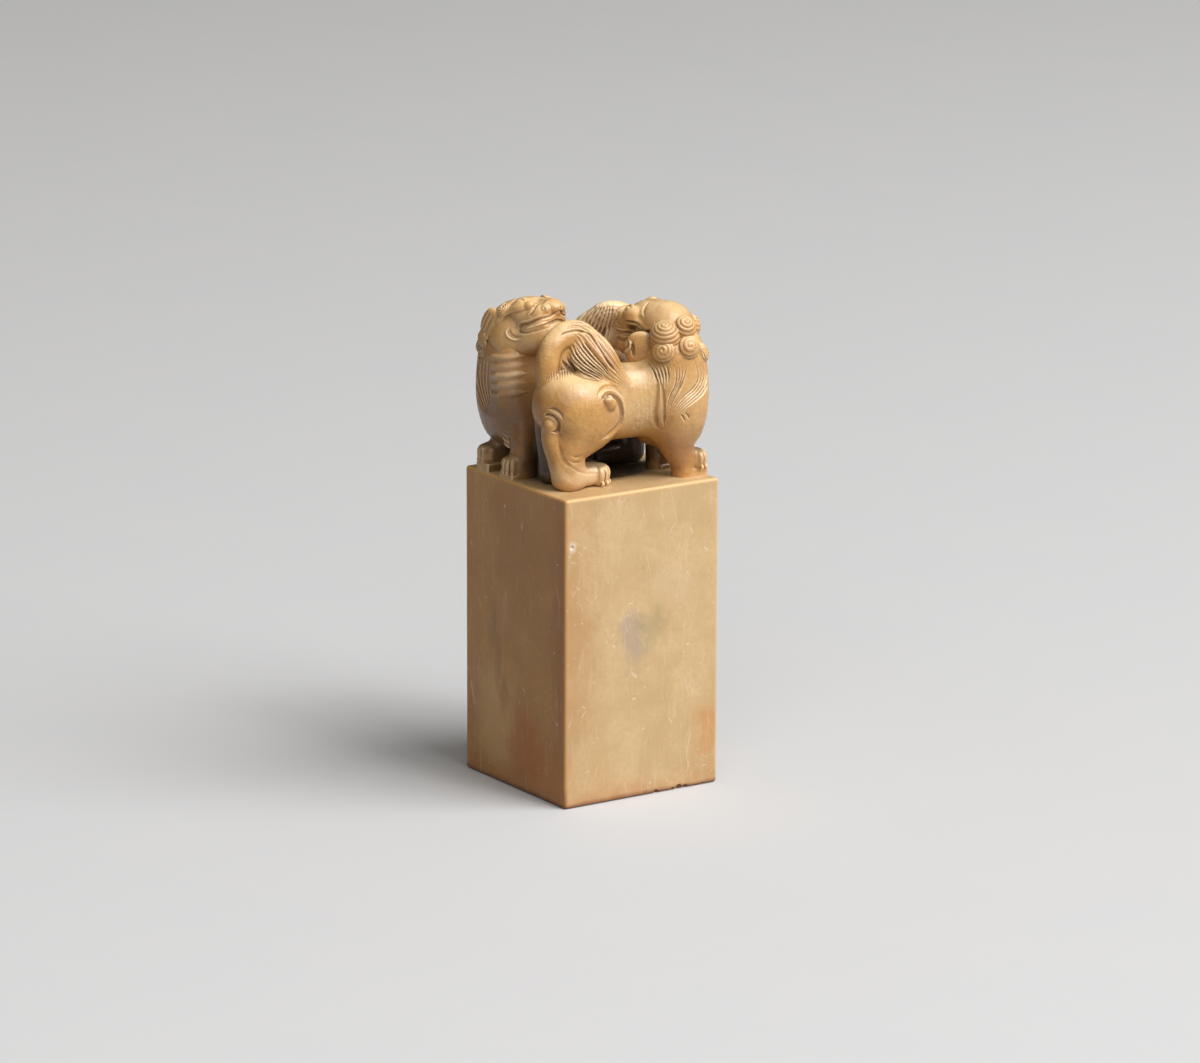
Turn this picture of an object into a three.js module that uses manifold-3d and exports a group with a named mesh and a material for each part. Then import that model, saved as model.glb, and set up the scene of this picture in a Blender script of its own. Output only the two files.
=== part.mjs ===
// Carved stone seal: a square shaft, a printing face cut into its foot, and a knob of two lions
// that walk nose to tail round its top, each with its head turned back over its inner shoulder.
// Millimetres, +Z up. The origin is the middle of the printing face.
import * as THREE from "three";
import { mergeVertices } from "three/addons/utils/BufferGeometryUtils.js";
import Module from "manifold-3d";

const wasm = await Module();
wasm.setup();

// Shaft and printing face
const SHAFT_SIDE = 30;
const SHAFT_HEIGHT = 51.7; // from the printing face to the top that the lions stand on
const SHAFT_EDGE = 0.9; // radius of the upright edges
const SHAFT_SHOULDER = 0.7; // radius of the worn top edges
const FACE_DEPTH = 1.2; // how deep the printing face is cut
const FACE_MARGIN = 2.2; // plain stone left round the cut pattern
const FACE_BAR = 1.9; // plain stone left between the four scrolls
const SCROLL_LINE = 1.25; // width of a cut line
const SCROLL_PITCH = 2.6; // from one turn of a scroll to the next
const SCROLL_ARMS = 7; // straight runs in a scroll

// Lion. Places are from the axis of the shaft and heights from its top, for a bar of this side.
// It walks along +X, with its outer side towards -Y.
const KNOB_DRAWN_FOR = 30;
const SEAM = 0.3; // gap between neighbouring zones of the stone
const BACK_HEIGHT = 19.0;
const BELLY_HEIGHT = 6.9;
const BODY_WIDTH = 9.2;
const RUMP_BEHIND = 9.6;
const RUMP_OUT = 5.9;
const CHEST_AHEAD = 9.7; // middle of the chest and of the mane that hangs over it
const CHEST_OUT = 8.3;
const CHEST_WIDTH = 11.8;
const CHEST_LENGTH = 10.0;
const CHEST_BOTTOM = 6.2;
const CHEST_SQUARENESS = 3.4; // 2 is an ellipse, more is boxier
const NAPE_HEIGHT = 23.5;
const MANE_LOCKS = 9; // flutes round the mane
const MANE_LOCK_DEPTH = 0.22;

// Head, measured from the point midway between its ears
const HEAD_SINK = 0.3; // below the top of the nape
const HEAD_BACK = 0.2; // behind the middle of the chest
const HEAD_IN = 1.6; // inside the middle of the chest
const HEAD_TURN = 107; // degrees from straight ahead
const HEAD_LIFT = 15; // degrees that the muzzle points up
const HEAD_TILT = 5; // degrees that the left ear hangs lower than the right one
const SKULL_RADIUS = 4.8;
const SKULL_FORWARD = 1.6;
const MUZZLE_LENGTH = 9.6;
const MUZZLE_WIDTH = 7.0;
const EYE_RADIUS = 1.0;
const EAR_LENGTH = 5.6;
const EAR_WIDTH = 2.8;

// Snail curls of the mane
const CURL_RADIUS = 2.3;
const CURL_HEIGHT = 1.5;
const CURL_TURNS = 1.6;
const CURL_RIDGE = 0.26; // height of the spiral ridge

// Legs. The forelegs are placed from the chest, the hind legs from the rump.
const FORE_OUTER_BACK = 1.0;
const FORE_OUTER_OUT = 2.6;
const FORE_INNER_AHEAD = 0.2;
const FORE_INNER_IN = 5.2;
const FORE_LEG_RADIUS = 2.05;
const HIND_OUTER_AHEAD = 0.2;
const HIND_OUTER_OUT = 2.9;
const HIND_STRIDE = 3.0; // how far the inner hind foot is ahead of the outer one
const HIND_INNER_IN = 2.8;
const SHANK_WIDTH = 4.0;
const SHANK_DEPTH = 5.4;
const THIGH_RADIUS = 6.1;
const THIGH_HEIGHT = 12.0; // middle of the thigh
const THIGH_BULGE = 3.5; // half the thickness of an outer thigh
const THIGH_INNER_BULGE = 2.3;
const HOCK_HEIGHT = 11.0;
const HOCK_TUCK = 2.1; // how far the outer hock stands inside its foot
const HIND_FOOT_LENGTH = 8.8;
const FORE_FOOT_LENGTH = 6.8;
const FOOT_WIDTH = 4.6;
const FOOT_HEIGHT = 2.9;
const TOES = 4;
const TOE_LENGTH = 1.7;

// Tail, placed from the rump
const TAIL_BEHIND = 2.6;
const TAIL_IN = 0.9;
const TAIL_RISE = 8.0; // crest above the back
const TAIL_RADIUS = 1.8;
const TUFT_WIDTH = 8.4;
const TUFT_THICKNESS = 3.4;
const TUFT_AHEAD = 10.5; // tip of the tuft ahead of the rump
const TUFT_OUT = 4.3;
const TUFT_DROP = 3.2; // tip of the tuft below the back
const TAIL_LOCKS = 8; // flutes round the tuft
const TAIL_LOCK_DEPTH = 0.22;

const STONE = new THREE.Color(0.62, 0.43, 0.22);
const SEAL_PASTE = new THREE.Color(0.5, 0.2, 0.12);

// Solids

function solidOf(geometry) {
  const bare = geometry.clone();
  bare.deleteAttribute("normal");
  bare.deleteAttribute("uv");
  const merged = mergeVertices(bare, 1e-4);
  return new wasm.Manifold(
    new wasm.Mesh({
      numProp: 3,
      vertProperties: new Float32Array(merged.attributes.position.array),
      triVerts: new Uint32Array(merged.index.array),
    }),
  );
}

function geometryOf(solid) {
  const mesh = solid.getMesh();
  const geometry = new THREE.BufferGeometry();
  geometry.setAttribute("position", new THREE.BufferAttribute(mesh.vertProperties, 3));
  geometry.setIndex(new THREE.BufferAttribute(mesh.triVerts, 1));
  geometry.computeVertexNormals();
  return geometry;
}

const join = (...solids) => solids.reduce((whole, next) => whole.add(next));

// A closed skin over rings of points, capped by a fan at each end.
function skin(rings) {
  const sides = rings[0].length;
  const points = rings.flat();
  const faces = [];
  for (let ring = 0; ring + 1 < rings.length; ring++) {
    for (let side = 0; side < sides; side++) {
      const a = ring * sides + side;
      const b = ring * sides + ((side + 1) % sides);
      faces.push(a, b, b + sides, a, b + sides, a + sides);
    }
  }
  const middle = (ring) => ring.reduce((sum, p) => sum.add(p), new THREE.Vector3()).divideScalar(sides);
  const first = points.push(middle(rings[0])) - 1;
  const last = points.push(middle(rings.at(-1))) - 1;
  const lastRing = (rings.length - 1) * sides;
  for (let side = 0; side < sides; side++) {
    const next = (side + 1) % sides;
    faces.push(first, next, side, last, lastRing + side, lastRing + next);
  }
  const geometry = new THREE.BufferGeometry().setFromPoints(points);
  geometry.setIndex(faces);
  return geometry;
}

// One section of a loft: its middle, and half its size across and along the "up" of the loft.
const section = (x, y, z, across, along) => ({ at: new THREE.Vector3(x, y, z), across, along });

// A smooth closed form through sections. It ends in round caps, and flutes can run along it.
function loft(sections, shape = {}) {
  const { up = [0, 0, 1], sides = 12, steps = 2, cap = 0.5, squareness = 2 } = shape;
  const { flutes = 0, fluteDepth = 0, grow = 0 } = shape;
  const spine = new THREE.CatmullRomCurve3(sections.map((s) => s.at));
  const sizes = new THREE.CatmullRomCurve3(sections.map((s) => new THREE.Vector3(s.across, s.along, 0)));
  const reference = new THREE.Vector3(...up);
  const round = (value) => Math.sign(value) * Math.abs(value) ** (2 / squareness);
  const ringAt = (t, shift, scale) => {
    const tangent = spine.getTangent(t);
    const across = new THREE.Vector3().crossVectors(reference, tangent).normalize();
    const along = new THREE.Vector3().crossVectors(tangent, across);
    const centre = spine.getPoint(t).addScaledVector(tangent, shift);
    const size = sizes.getPoint(t);
    return Array.from({ length: sides }, (_, side) => {
      const angle = (2 * Math.PI * side) / sides;
      const ripple = flutes ? fluteDepth * Math.cos(flutes * angle) : 0;
      const a = (size.x + ripple + grow) * scale * round(Math.cos(angle));
      const b = (size.y + ripple + grow) * scale * round(Math.sin(angle));
      return centre.clone().addScaledVector(across, a).addScaledVector(along, b);
    });
  };
  const capSteps = [0.5, 0.87];
  const capRing = (t, way) => (share) => {
    const size = sizes.getPoint(t);
    const reach = cap * Math.min(size.x, size.y) + grow;
    return ringAt(t, way * reach * share, Math.sqrt(1 - share * share));
  };
  const rings = capSteps.map(capRing(0, -1)).reverse();
  const count = (sections.length - 1) * steps;
  for (let step = 0; step <= count; step++) rings.push(ringAt(step / count, 0, 1));
  rings.push(...capSteps.map(capRing(1, 1)));
  return skin(rings);
}

const medium = { sides: 10, rings: 6 };
const coarse = { sides: 6, rings: 4 };

function ball(x, y, z, rx, ry, rz, { sides = 12, rings = 8 } = {}) {
  return new THREE.SphereGeometry(1, sides, rings).scale(rx, ry, rz).translate(x, y, z);
}

// A snail curl that stands on the XY plane: a dome whose skin rises and falls along one spiral.
function curl(radius, height) {
  const sides = 12;
  const ringCount = 6;
  const ring = (share) =>
    Array.from({ length: sides }, (_, side) => {
      const angle = (2 * Math.PI * side) / sides;
      const phase = 2 * Math.PI * CURL_TURNS * share - angle;
      const edge = Math.min(1, 4 * (1 - share), 6 * share);
      const z = height * Math.sqrt(1 - share * share) + CURL_RIDGE * edge * Math.cos(phase);
      return new THREE.Vector3(radius * share * Math.cos(angle), radius * share * Math.sin(angle), z);
    });
  const rings = [];
  for (let k = ringCount; k >= 1; k--) rings.push(ring(k / ringCount));
  const foot = rings[0].map((p) => new THREE.Vector3(p.x, p.y, -height));
  return skin([foot, ...rings]);
}

// Shaft

// Outline of a square with round corners, as a ring at one height.
function squareRing(half, radius, z, cornerSteps = 4) {
  const points = [];
  for (let corner = 0; corner < 4; corner++) {
    const middle = Math.PI / 4 + (corner * Math.PI) / 2;
    const cx = Math.sign(Math.cos(middle)) * (half - radius);
    const cy = Math.sign(Math.sin(middle)) * (half - radius);
    for (let step = 0; step <= cornerSteps; step++) {
      const angle = middle + (step / cornerSteps - 0.5) * (Math.PI / 2);
      points.push(new THREE.Vector3(cx + radius * Math.cos(angle), cy + radius * Math.sin(angle), z));
    }
  }
  return points;
}

function shaft() {
  const half = SHAFT_SIDE / 2;
  const rings = [squareRing(half, SHAFT_EDGE, FACE_DEPTH)];
  const shoulderSteps = 4;
  for (let step = 0; step <= shoulderSteps; step++) {
    const angle = (step / shoulderSteps) * (Math.PI / 2);
    const inset = SHAFT_SHOULDER * (1 - Math.cos(angle));
    const z = SHAFT_HEIGHT - SHAFT_SHOULDER * (1 - Math.sin(angle));
    rings.push(squareRing(half - inset, Math.max(SHAFT_EDGE - inset, 0.05), z));
  }
  return skin(rings);
}

// Outline of a line of right-angled runs, for a cut of the given width.
function lineOutline(points, width) {
  const runs = points.slice(1).map((p, i) => p.clone().sub(points[i]).normalize());
  const side = (sign) =>
    points.map((p, i) => {
      const before = runs[Math.max(i - 1, 0)];
      const after = runs[Math.min(i, runs.length - 1)];
      const normals = i === 0 || i === runs.length ? [after] : [before, after];
      const offset = normals.reduce((sum, n) => sum.add(new THREE.Vector2(-n.y, n.x)), new THREE.Vector2());
      return p.clone().addScaledVector(offset, (sign * width) / 2);
    });
  return [...side(1), ...side(-1).reverse()];
}

// Middle line of a square scroll that winds in from its outer corner.
function scrollLine(size) {
  const directions = [[1, 0], [0, 1], [-1, 0], [0, -1]].map(([x, y]) => new THREE.Vector2(x, y));
  const points = [new THREE.Vector2(-size / 2, -size / 2)];
  for (let arm = 0; arm < SCROLL_ARMS; arm++) {
    const shorter = Math.max(0, Math.floor((arm - 1) / 2)) * SCROLL_PITCH;
    const length = size - shorter;
    points.push(points.at(-1).clone().addScaledVector(directions[arm % 4], length));
  }
  return points;
}

function printingFace() {
  const outline = squareRing(SHAFT_SIDE / 2, SHAFT_EDGE, 0).map((p) => new THREE.Vector2(p.x, p.y));
  const plate = new THREE.Shape(outline);
  const cell = (SHAFT_SIDE - 2 * FACE_MARGIN - FACE_BAR) / 2;
  const line = lineOutline(scrollLine(cell - SCROLL_LINE), SCROLL_LINE);
  for (let quarter = 0; quarter < 4; quarter++) {
    const centre = new THREE.Vector2((cell + FACE_BAR) / 2, (cell + FACE_BAR) / 2);
    const place = (p) => p.clone().add(centre).rotateAround(new THREE.Vector2(), (quarter * Math.PI) / 2);
    plate.holes.push(new THREE.Path(line.map(place)));
  }
  return new THREE.ExtrudeGeometry(plate, { depth: FACE_DEPTH, bevelEnabled: false });
}

// Lion

const rumpX = -RUMP_BEHIND;
const rumpY = -RUMP_OUT;
const chestX = CHEST_AHEAD;
const chestY = -CHEST_OUT;
const bodyMiddle = (BACK_HEIGHT + BELLY_HEIGHT) / 2;

// The bar that the lions are carved from. Nothing stands outside the sides of the shaft.
const barSize = [KNOB_DRAWN_FOR, KNOB_DRAWN_FOR, 2 * KNOB_DRAWN_FOR];
const bar = solidOf(new THREE.BoxGeometry(...barSize).translate(0, 0, KNOB_DRAWN_FOR));

// What is left of a solid after cuts, inside the bar and without the crumbs that a cut can leave.
function cut(solid, ...tools) {
  const left = tools.reduce((rest, tool) => rest.subtract(tool), solid.intersect(bar)).decompose();
  return left.reduce((largest, body) => (body.volume() > largest.volume() ? body : largest));
}

// Place along the body, 0 at the rump and 1 at the chest.
function bodySection(share, width, height) {
  const x = THREE.MathUtils.lerp(rumpX, chestX, share);
  const y = THREE.MathUtils.lerp(rumpY, chestY, share);
  return section(x, y, bodyMiddle, (BODY_WIDTH / 2) * width, ((BACK_HEIGHT - BELLY_HEIGHT) / 2) * height);
}

function torso(grow = 0) {
  const sections = [
    bodySection(-0.11, 0.68, 0.74),
    bodySection(0.06, 0.96, 0.95),
    bodySection(0.32, 0.98, 0.98),
    bodySection(0.57, 0.96, 1.0),
    bodySection(0.83, 1.04, 0.98),
    bodySection(0.92, 0.98, 0.9),
  ];
  return loft(sections, { sides: 14, cap: 0.45, grow });
}

function foot(heelX, y, length) {
  const half = FOOT_WIDTH / 2;
  const middle = FOOT_HEIGHT * 0.42;
  const sole = loft(
    [
      section(heelX + half * 0.35, y, middle, half * 0.72, FOOT_HEIGHT * 0.52),
      section(heelX + length * 0.45, y, middle, half * 0.86, FOOT_HEIGHT * 0.56),
      section(heelX + length - TOE_LENGTH, y, middle, half, FOOT_HEIGHT * 0.54),
    ],
    { sides: 8, steps: 1, cap: 0.7 },
  );
  const pieces = [solidOf(sole)];
  const toeHalf = FOOT_WIDTH / TOES / 1.7;
  for (let toe = 0; toe < TOES; toe++) {
    const across = ((toe + 0.5) / TOES - 0.5) * FOOT_WIDTH;
    const reach = heelX + length - TOE_LENGTH * (0.8 + 0.3 * Math.abs(across / half));
    const digit = ball(reach, y + across, FOOT_HEIGHT * 0.4, TOE_LENGTH, toeHalf, FOOT_HEIGHT * 0.5, coarse);
    pieces.push(solidOf(digit));
  }
  return join(...pieces);
}

function foreleg(x, y) {
  const radius = FORE_LEG_RADIUS;
  const shoulderY = THREE.MathUtils.lerp(chestY, y, 0.65);
  const leg = loft(
    [
      section(chestX - radius * 0.3, shoulderY, CHEST_BOTTOM * 1.95, radius * 1.35, radius * 1.5),
      section(x, (y + shoulderY) / 2, CHEST_BOTTOM * 1.45, radius * 1.2, radius * 1.35),
      section(x, y, CHEST_BOTTOM * 0.75, radius, radius * 1.05),
      section(x + radius * 0.15, y, FOOT_HEIGHT * 0.8, radius * 0.95, radius),
      section(x + radius * 0.2, y, FOOT_HEIGHT * 0.2, radius, radius * 1.05),
    ],
    { up: [1, 0, 0], sides: 10, steps: 1, cap: 0.6 },
  );
  return join(solidOf(leg), foot(x - radius, y, FORE_FOOT_LENGTH));
}

// The tuck is how far the hock stands off the line of the foot, towards +Y.
function hindleg(x, y, bulge, tuck) {
  const wide = SHANK_WIDTH / 2;
  const deep = SHANK_DEPTH / 2;
  const thighX = rumpX + HIND_OUTER_AHEAD + THIGH_RADIUS * 0.4;
  const thigh = ball(thighX, y, THIGH_HEIGHT, THIGH_RADIUS, bulge, THIGH_RADIUS);
  const shank = loft(
    [
      section(x - deep * 0.22, y + tuck * 0.5, HOCK_HEIGHT, wide * 1.2, deep * 1.33),
      section(x - deep * 0.37, y + tuck * 0.6, HOCK_HEIGHT * 0.75, wide * 1.15, deep * 1.26),
      section(x - deep * 0.19, y + tuck * 0.2, HOCK_HEIGHT * 0.42, wide, deep),
      section(x, y, FOOT_HEIGHT * 0.7, wide * 0.95, deep * 0.93),
      section(x, y, FOOT_HEIGHT * 0.2, wide * 0.95, deep * 0.89),
    ],
    { up: [1, 0, 0], sides: 10, steps: 1, cap: 0.6 },
  );
  const hock = ball(x - deep * 1.48, y + tuck, HOCK_HEIGHT, deep * 0.48, wide * 0.85, deep * 0.81, medium);
  const sole = foot(x - deep * 0.81, y, HIND_FOOT_LENGTH);
  return join(solidOf(thigh), solidOf(shank), solidOf(hock), sole);
}

// Chest, neck and the mane that hangs over them, up to the nape.
function mane(grow = 0) {
  const across = CHEST_WIDTH / 2;
  const along = CHEST_LENGTH / 2;
  const at = (share, ahead, inward, width, length) => {
    const z = THREE.MathUtils.lerp(CHEST_BOTTOM, NAPE_HEIGHT, share);
    return section(chestX + along * ahead, chestY + across * inward, z, across * width, along * length);
  };
  const sections = [
    at(0.09, -0.06, 0.07, 0.72, 0.76),
    at(0.31, 0, 0, 1, 1),
    at(0.58, 0.02, 0, 1, 1),
    at(0.77, 0.02, 0.05, 0.96, 0.95),
    at(1, 0.04, 0.15, 0.72, 0.74),
  ];
  return loft(sections, {
    up: [1, 0, 0],
    sides: 4 * MANE_LOCKS,
    cap: 0.5,
    squareness: CHEST_SQUARENESS,
    flutes: MANE_LOCKS,
    fluteDepth: MANE_LOCK_DEPTH,
    grow,
  });
}

const degrees = THREE.MathUtils.degToRad;
const headTurn = new THREE.Euler(degrees(-HEAD_TILT), degrees(-HEAD_LIFT), degrees(HEAD_TURN), "ZYX");
const headPlace = new THREE.Matrix4().compose(
  new THREE.Vector3(chestX - HEAD_BACK, chestY + HEAD_IN, NAPE_HEIGHT - HEAD_SINK),
  new THREE.Quaternion().setFromEuler(headTurn),
  new THREE.Vector3(1, 1, 1),
);

function skull(grow = 0) {
  const r = SKULL_RADIUS + grow;
  return ball(SKULL_FORWARD, 0, SKULL_RADIUS * 0.06, r * 1.06, r, r).applyMatrix4(headPlace);
}

function ear(sign) {
  const root = SKULL_FORWARD - SKULL_RADIUS * 0.2;
  const top = SKULL_RADIUS * 0.3;
  const out = sign * SKULL_RADIUS;
  const leaf = loft(
    [
      section(root, out * 0.9, top, EAR_WIDTH * 0.25, EAR_WIDTH * 0.34),
      section(root - EAR_WIDTH * 0.18, out * 1.1, top - EAR_LENGTH * 0.4, EAR_WIDTH * 0.29, EAR_WIDTH * 0.5),
      section(root - EAR_WIDTH * 0.5, out * 1.12, top - EAR_LENGTH * 0.8, EAR_WIDTH * 0.21, EAR_WIDTH * 0.3),
    ],
    { up: [1, 0, 0], sides: 8, steps: 1, cap: 0.7 },
  );
  const hollowAt = [root - EAR_WIDTH * 0.18, out * 1.1 + sign * EAR_WIDTH * 0.32, top - EAR_LENGTH * 0.42];
  const hollow = ball(...hollowAt, EAR_WIDTH * 0.26, EAR_WIDTH * 0.25, EAR_LENGTH * 0.3, coarse);
  return solidOf(leaf).subtract(solidOf(hollow));
}

// In the head's own axes: +X along the muzzle, +Y to its left, +Z up through the crown.
function head(grow = 0) {
  const half = MUZZLE_WIDTH / 2;
  const tip = MUZZLE_LENGTH;
  const r = SKULL_RADIUS;
  const pieces = [
    ball(tip * 0.46, 0, r * -0.33, tip * 0.375, half * 1.16, r * 0.54, medium),
    ball(tip * 0.69, 0, r * -0.08, tip * 0.31, half, r * 0.44, medium),
    ball(tip * 0.56, 0, r * -0.71, tip * 0.41, half * 0.96, r * 0.4, medium),
    ball(tip * 0.91, 0, r * 0.21, tip * 0.09, half * 0.49, r * 0.23, coarse),
  ].map(solidOf);
  for (const sign of [-1, 1]) {
    const out = sign * half;
    const lip = loft(
      [
        section(tip * 0.92, out * 0.26, r * -0.27, r * 0.17, r * 0.17),
        section(tip * 0.73, out * 0.95, r * -0.31, r * 0.17, r * 0.17),
        section(tip * 0.375, out * 1.16, r * -0.42, r * 0.15, r * 0.15),
      ],
      { sides: 6, steps: 1 },
    );
    const brow = loft(
      [
        section(tip * 0.59, out * 0.29, r * 0.5, r * 0.21, r * 0.17),
        section(tip * 0.56, out * 0.77, r * 0.58, r * 0.27, r * 0.21),
        section(tip * 0.42, out * 1.17, r * 0.46, r * 0.21, r * 0.17),
      ],
      { sides: 6, steps: 1 },
    );
    const eye = ball(tip * 0.65, out * 0.63, r * 0.33, EYE_RADIUS, EYE_RADIUS, EYE_RADIUS, coarse);
    pieces.push(solidOf(lip), solidOf(brow), solidOf(eye), ear(sign));
  }
  const grown = join(...pieces).scale(1 + grow / SKULL_RADIUS);
  return join(solidOf(skull(grow)), grown.transform(headPlace.elements));
}

// The curls stand round the back of the head in two rows. Angles are from the muzzle.
function curls() {
  const rows = [
    { lift: 16, size: 1.0, angles: [-116, -158, 116, 158] },
    { lift: -32, size: 0.92, angles: [-104, -142, 180, 104, 142] },
  ];
  const nape = new THREE.Vector3(-0.375, 0, -0.083).multiplyScalar(SKULL_RADIUS);
  const reach = SKULL_RADIUS * 0.94;
  const pieces = [solidOf(ball(...nape.toArray(), reach, reach * 1.06, reach))];
  for (const row of rows) {
    for (const angle of row.angles) {
      const level = Math.cos(degrees(row.lift));
      const ahead = Math.cos(degrees(angle)) * level;
      const left = Math.sin(degrees(angle)) * level;
      const out = new THREE.Vector3(ahead, left, Math.sin(degrees(row.lift)));
      const facing = new THREE.Quaternion().setFromUnitVectors(new THREE.Vector3(0, 0, 1), out);
      const place = nape.clone().addScaledVector(out, reach * 0.96);
      const matrix = new THREE.Matrix4().compose(place, facing, new THREE.Vector3(1, 1, 1));
      pieces.push(solidOf(curl(CURL_RADIUS * row.size, CURL_HEIGHT * row.size).applyMatrix4(matrix)));
    }
  }
  return join(...pieces).transform(headPlace.elements);
}

// The tail stands up from the rump, bends over at its crest and fans out into a tuft down the flank.
function tail() {
  const wide = TUFT_WIDTH / 2;
  const thick = TUFT_THICKNESS / 2;
  const round = TAIL_RADIUS;
  const x = rumpX - TAIL_BEHIND;
  const y = rumpY + TAIL_IN;
  const crest = BACK_HEIGHT + TAIL_RISE;
  const tipX = rumpX + TUFT_AHEAD;
  const tipY = rumpY - TUFT_OUT;
  const tipZ = BACK_HEIGHT - TUFT_DROP;
  const sections = [
    section(x + round, y - round * 0.17, bodyMiddle + round * 0.9, round * 1.1, round * 1.1),
    section(x, y, BACK_HEIGHT, round, round),
    section(x + round * 0.4, y, crest - TAIL_RISE * 0.54, round * 1.1, round),
    section(x + wide * 1.05, y - wide * 0.05, crest - wide * 0.62, wide * 0.68, thick),
    section(x + wide * 1.67, y - wide * 0.19, crest - wide * 1.17, wide, thick),
    section(tipX - wide * 0.98, tipY + wide * 0.71, tipZ + wide * 1.02, wide * 0.82, thick),
    section(tipX - wide * 0.52, tipY + wide * 0.38, tipZ + wide * 0.52, wide * 0.56, thick * 0.9),
    section(tipX, tipY, tipZ, wide * 0.2, thick * 0.5),
  ];
  return loft(sections, {
    up: [0, -1, 0.3],
    sides: 3 * TAIL_LOCKS,
    cap: 0.6,
    flutes: TAIL_LOCKS,
    fluteDepth: TAIL_LOCK_DEPTH,
  });
}

function lionZones() {
  const body = solidOf(torso());
  const bodyRoom = solidOf(torso(SEAM));
  const maneRoom = solidOf(mane(SEAM));
  const skullRoom = solidOf(skull(SEAM));
  const otherHead = head(SEAM).rotate([0, 0, 180]); // the other lion's chin rests on this one's tail
  const foreOuter = foreleg(chestX - FORE_OUTER_BACK, chestY - FORE_OUTER_OUT);
  const foreInner = foreleg(chestX + FORE_INNER_AHEAD, chestY + FORE_INNER_IN);
  const hindX = rumpX + HIND_OUTER_AHEAD;
  const hindOuter = hindleg(hindX, rumpY - HIND_OUTER_OUT, THIGH_BULGE, HOCK_TUCK);
  const hindInner = hindleg(hindX + HIND_STRIDE, rumpY + HIND_INNER_IN, THIGH_INNER_BULGE, 0);
  return {
    torso: body,
    mane: cut(solidOf(mane()), bodyRoom, skullRoom),
    head: cut(head(), maneRoom.subtract(skullRoom)),
    mane_curls: cut(curls(), skullRoom, maneRoom),
    tail: cut(solidOf(tail()), bodyRoom, otherHead),
    right_foreleg: cut(foreOuter, bodyRoom, maneRoom),
    left_foreleg: cut(foreInner, bodyRoom, maneRoom),
    right_hindleg: cut(hindOuter, bodyRoom),
    left_hindleg: cut(hindInner, bodyRoom),
  };
}

const stone = new THREE.MeshStandardMaterial({ color: STONE, roughness: 0.42, metalness: 0 });
const pasteStained = new THREE.MeshStandardMaterial({ color: SEAL_PASTE, roughness: 0.6, metalness: 0 });

function named(name, geometry, material) {
  const mesh = new THREE.Mesh(geometry, material);
  mesh.name = name;
  return mesh;
}

function lion(name, zones, turn) {
  const group = new THREE.Group();
  for (const [zone, geometry] of Object.entries(zones)) group.add(named(`${name}_${zone}`, geometry, stone));
  group.position.z = SHAFT_HEIGHT;
  group.rotation.z = turn;
  return group;
}

const knobScale = SHAFT_SIDE / KNOB_DRAWN_FOR;
const zones = {};
for (const [name, solid] of Object.entries(lionZones())) {
  zones[name] = geometryOf(solid).scale(knobScale, knobScale, knobScale);
}
const seal = new THREE.Group();
seal.add(named("printing_face", printingFace(), pasteStained));
seal.add(named("shaft", shaft(), stone));
seal.add(lion("front_lion", zones, 0));
seal.add(lion("rear_lion", zones, Math.PI));

export default seal;
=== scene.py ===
import math
import time

import bpy
import numpy as np
import openvdb
from mathutils import Matrix, Vector


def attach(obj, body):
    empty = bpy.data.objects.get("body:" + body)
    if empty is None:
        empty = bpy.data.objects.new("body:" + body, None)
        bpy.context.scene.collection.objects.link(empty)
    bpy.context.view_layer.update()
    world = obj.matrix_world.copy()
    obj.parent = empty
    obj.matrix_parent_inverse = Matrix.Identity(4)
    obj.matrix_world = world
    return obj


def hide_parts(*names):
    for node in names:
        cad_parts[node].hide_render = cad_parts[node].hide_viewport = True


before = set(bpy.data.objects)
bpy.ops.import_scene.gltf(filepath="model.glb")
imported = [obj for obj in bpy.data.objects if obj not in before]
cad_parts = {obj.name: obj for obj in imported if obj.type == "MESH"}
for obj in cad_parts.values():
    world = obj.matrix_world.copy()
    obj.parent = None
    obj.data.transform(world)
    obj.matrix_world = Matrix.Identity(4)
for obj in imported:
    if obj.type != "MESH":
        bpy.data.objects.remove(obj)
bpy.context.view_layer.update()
begun = time.time()
print("frame loaded with", len(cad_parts), "solids")

mm = 0.001
seal = {
    "side": 30.0,           # block across its flats, mm
    "blockTop": 51.7,       # the lions stand at this height, mm
    "grain": 0.11,       # clay voxel of a lion's body, mm
    "headGrain": 0.085,
    "clayFar": 6.0,         # distances in the clay go no higher, mm
    "mostTriangles": 186000,
}


def report(*words):
    print(*words, "after", round(time.time() - begun, 1), "s")


# clay is a block of signed distances, mm, in the lion's own frame: x forward, y to its left, z up from the block
def newClay(low, high, grain):
    low = np.array(low, np.float32)
    count = np.ceil((np.array(high) - low) / grain).astype(int) + 1
    return {"low": low, "grain": grain, "d": np.full(count, seal["clayFar"], np.float32)}


def window(clay, low, high):
    first = np.floor((np.array(low) - clay["low"]) / clay["grain"]).astype(int)
    last = np.ceil((np.array(high) - clay["low"]) / clay["grain"]).astype(int) + 1
    first = np.clip(first, 0, clay["d"].shape)
    last = np.clip(last, 0, clay["d"].shape)
    part = tuple(slice(a, b) for a, b in zip(first, last))
    axes = [clay["low"][i] + np.arange(first[i], last[i], dtype=np.float32) * clay["grain"] for i in range(3)]
    return part, (axes[0][:, None, None], axes[1][None, :, None], axes[2][None, None, :])


def along(axes, at, way):
    return (axes[0] - at[0]) * way[0] + (axes[1] - at[1]) * way[1] + (axes[2] - at[2]) * way[2]


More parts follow.
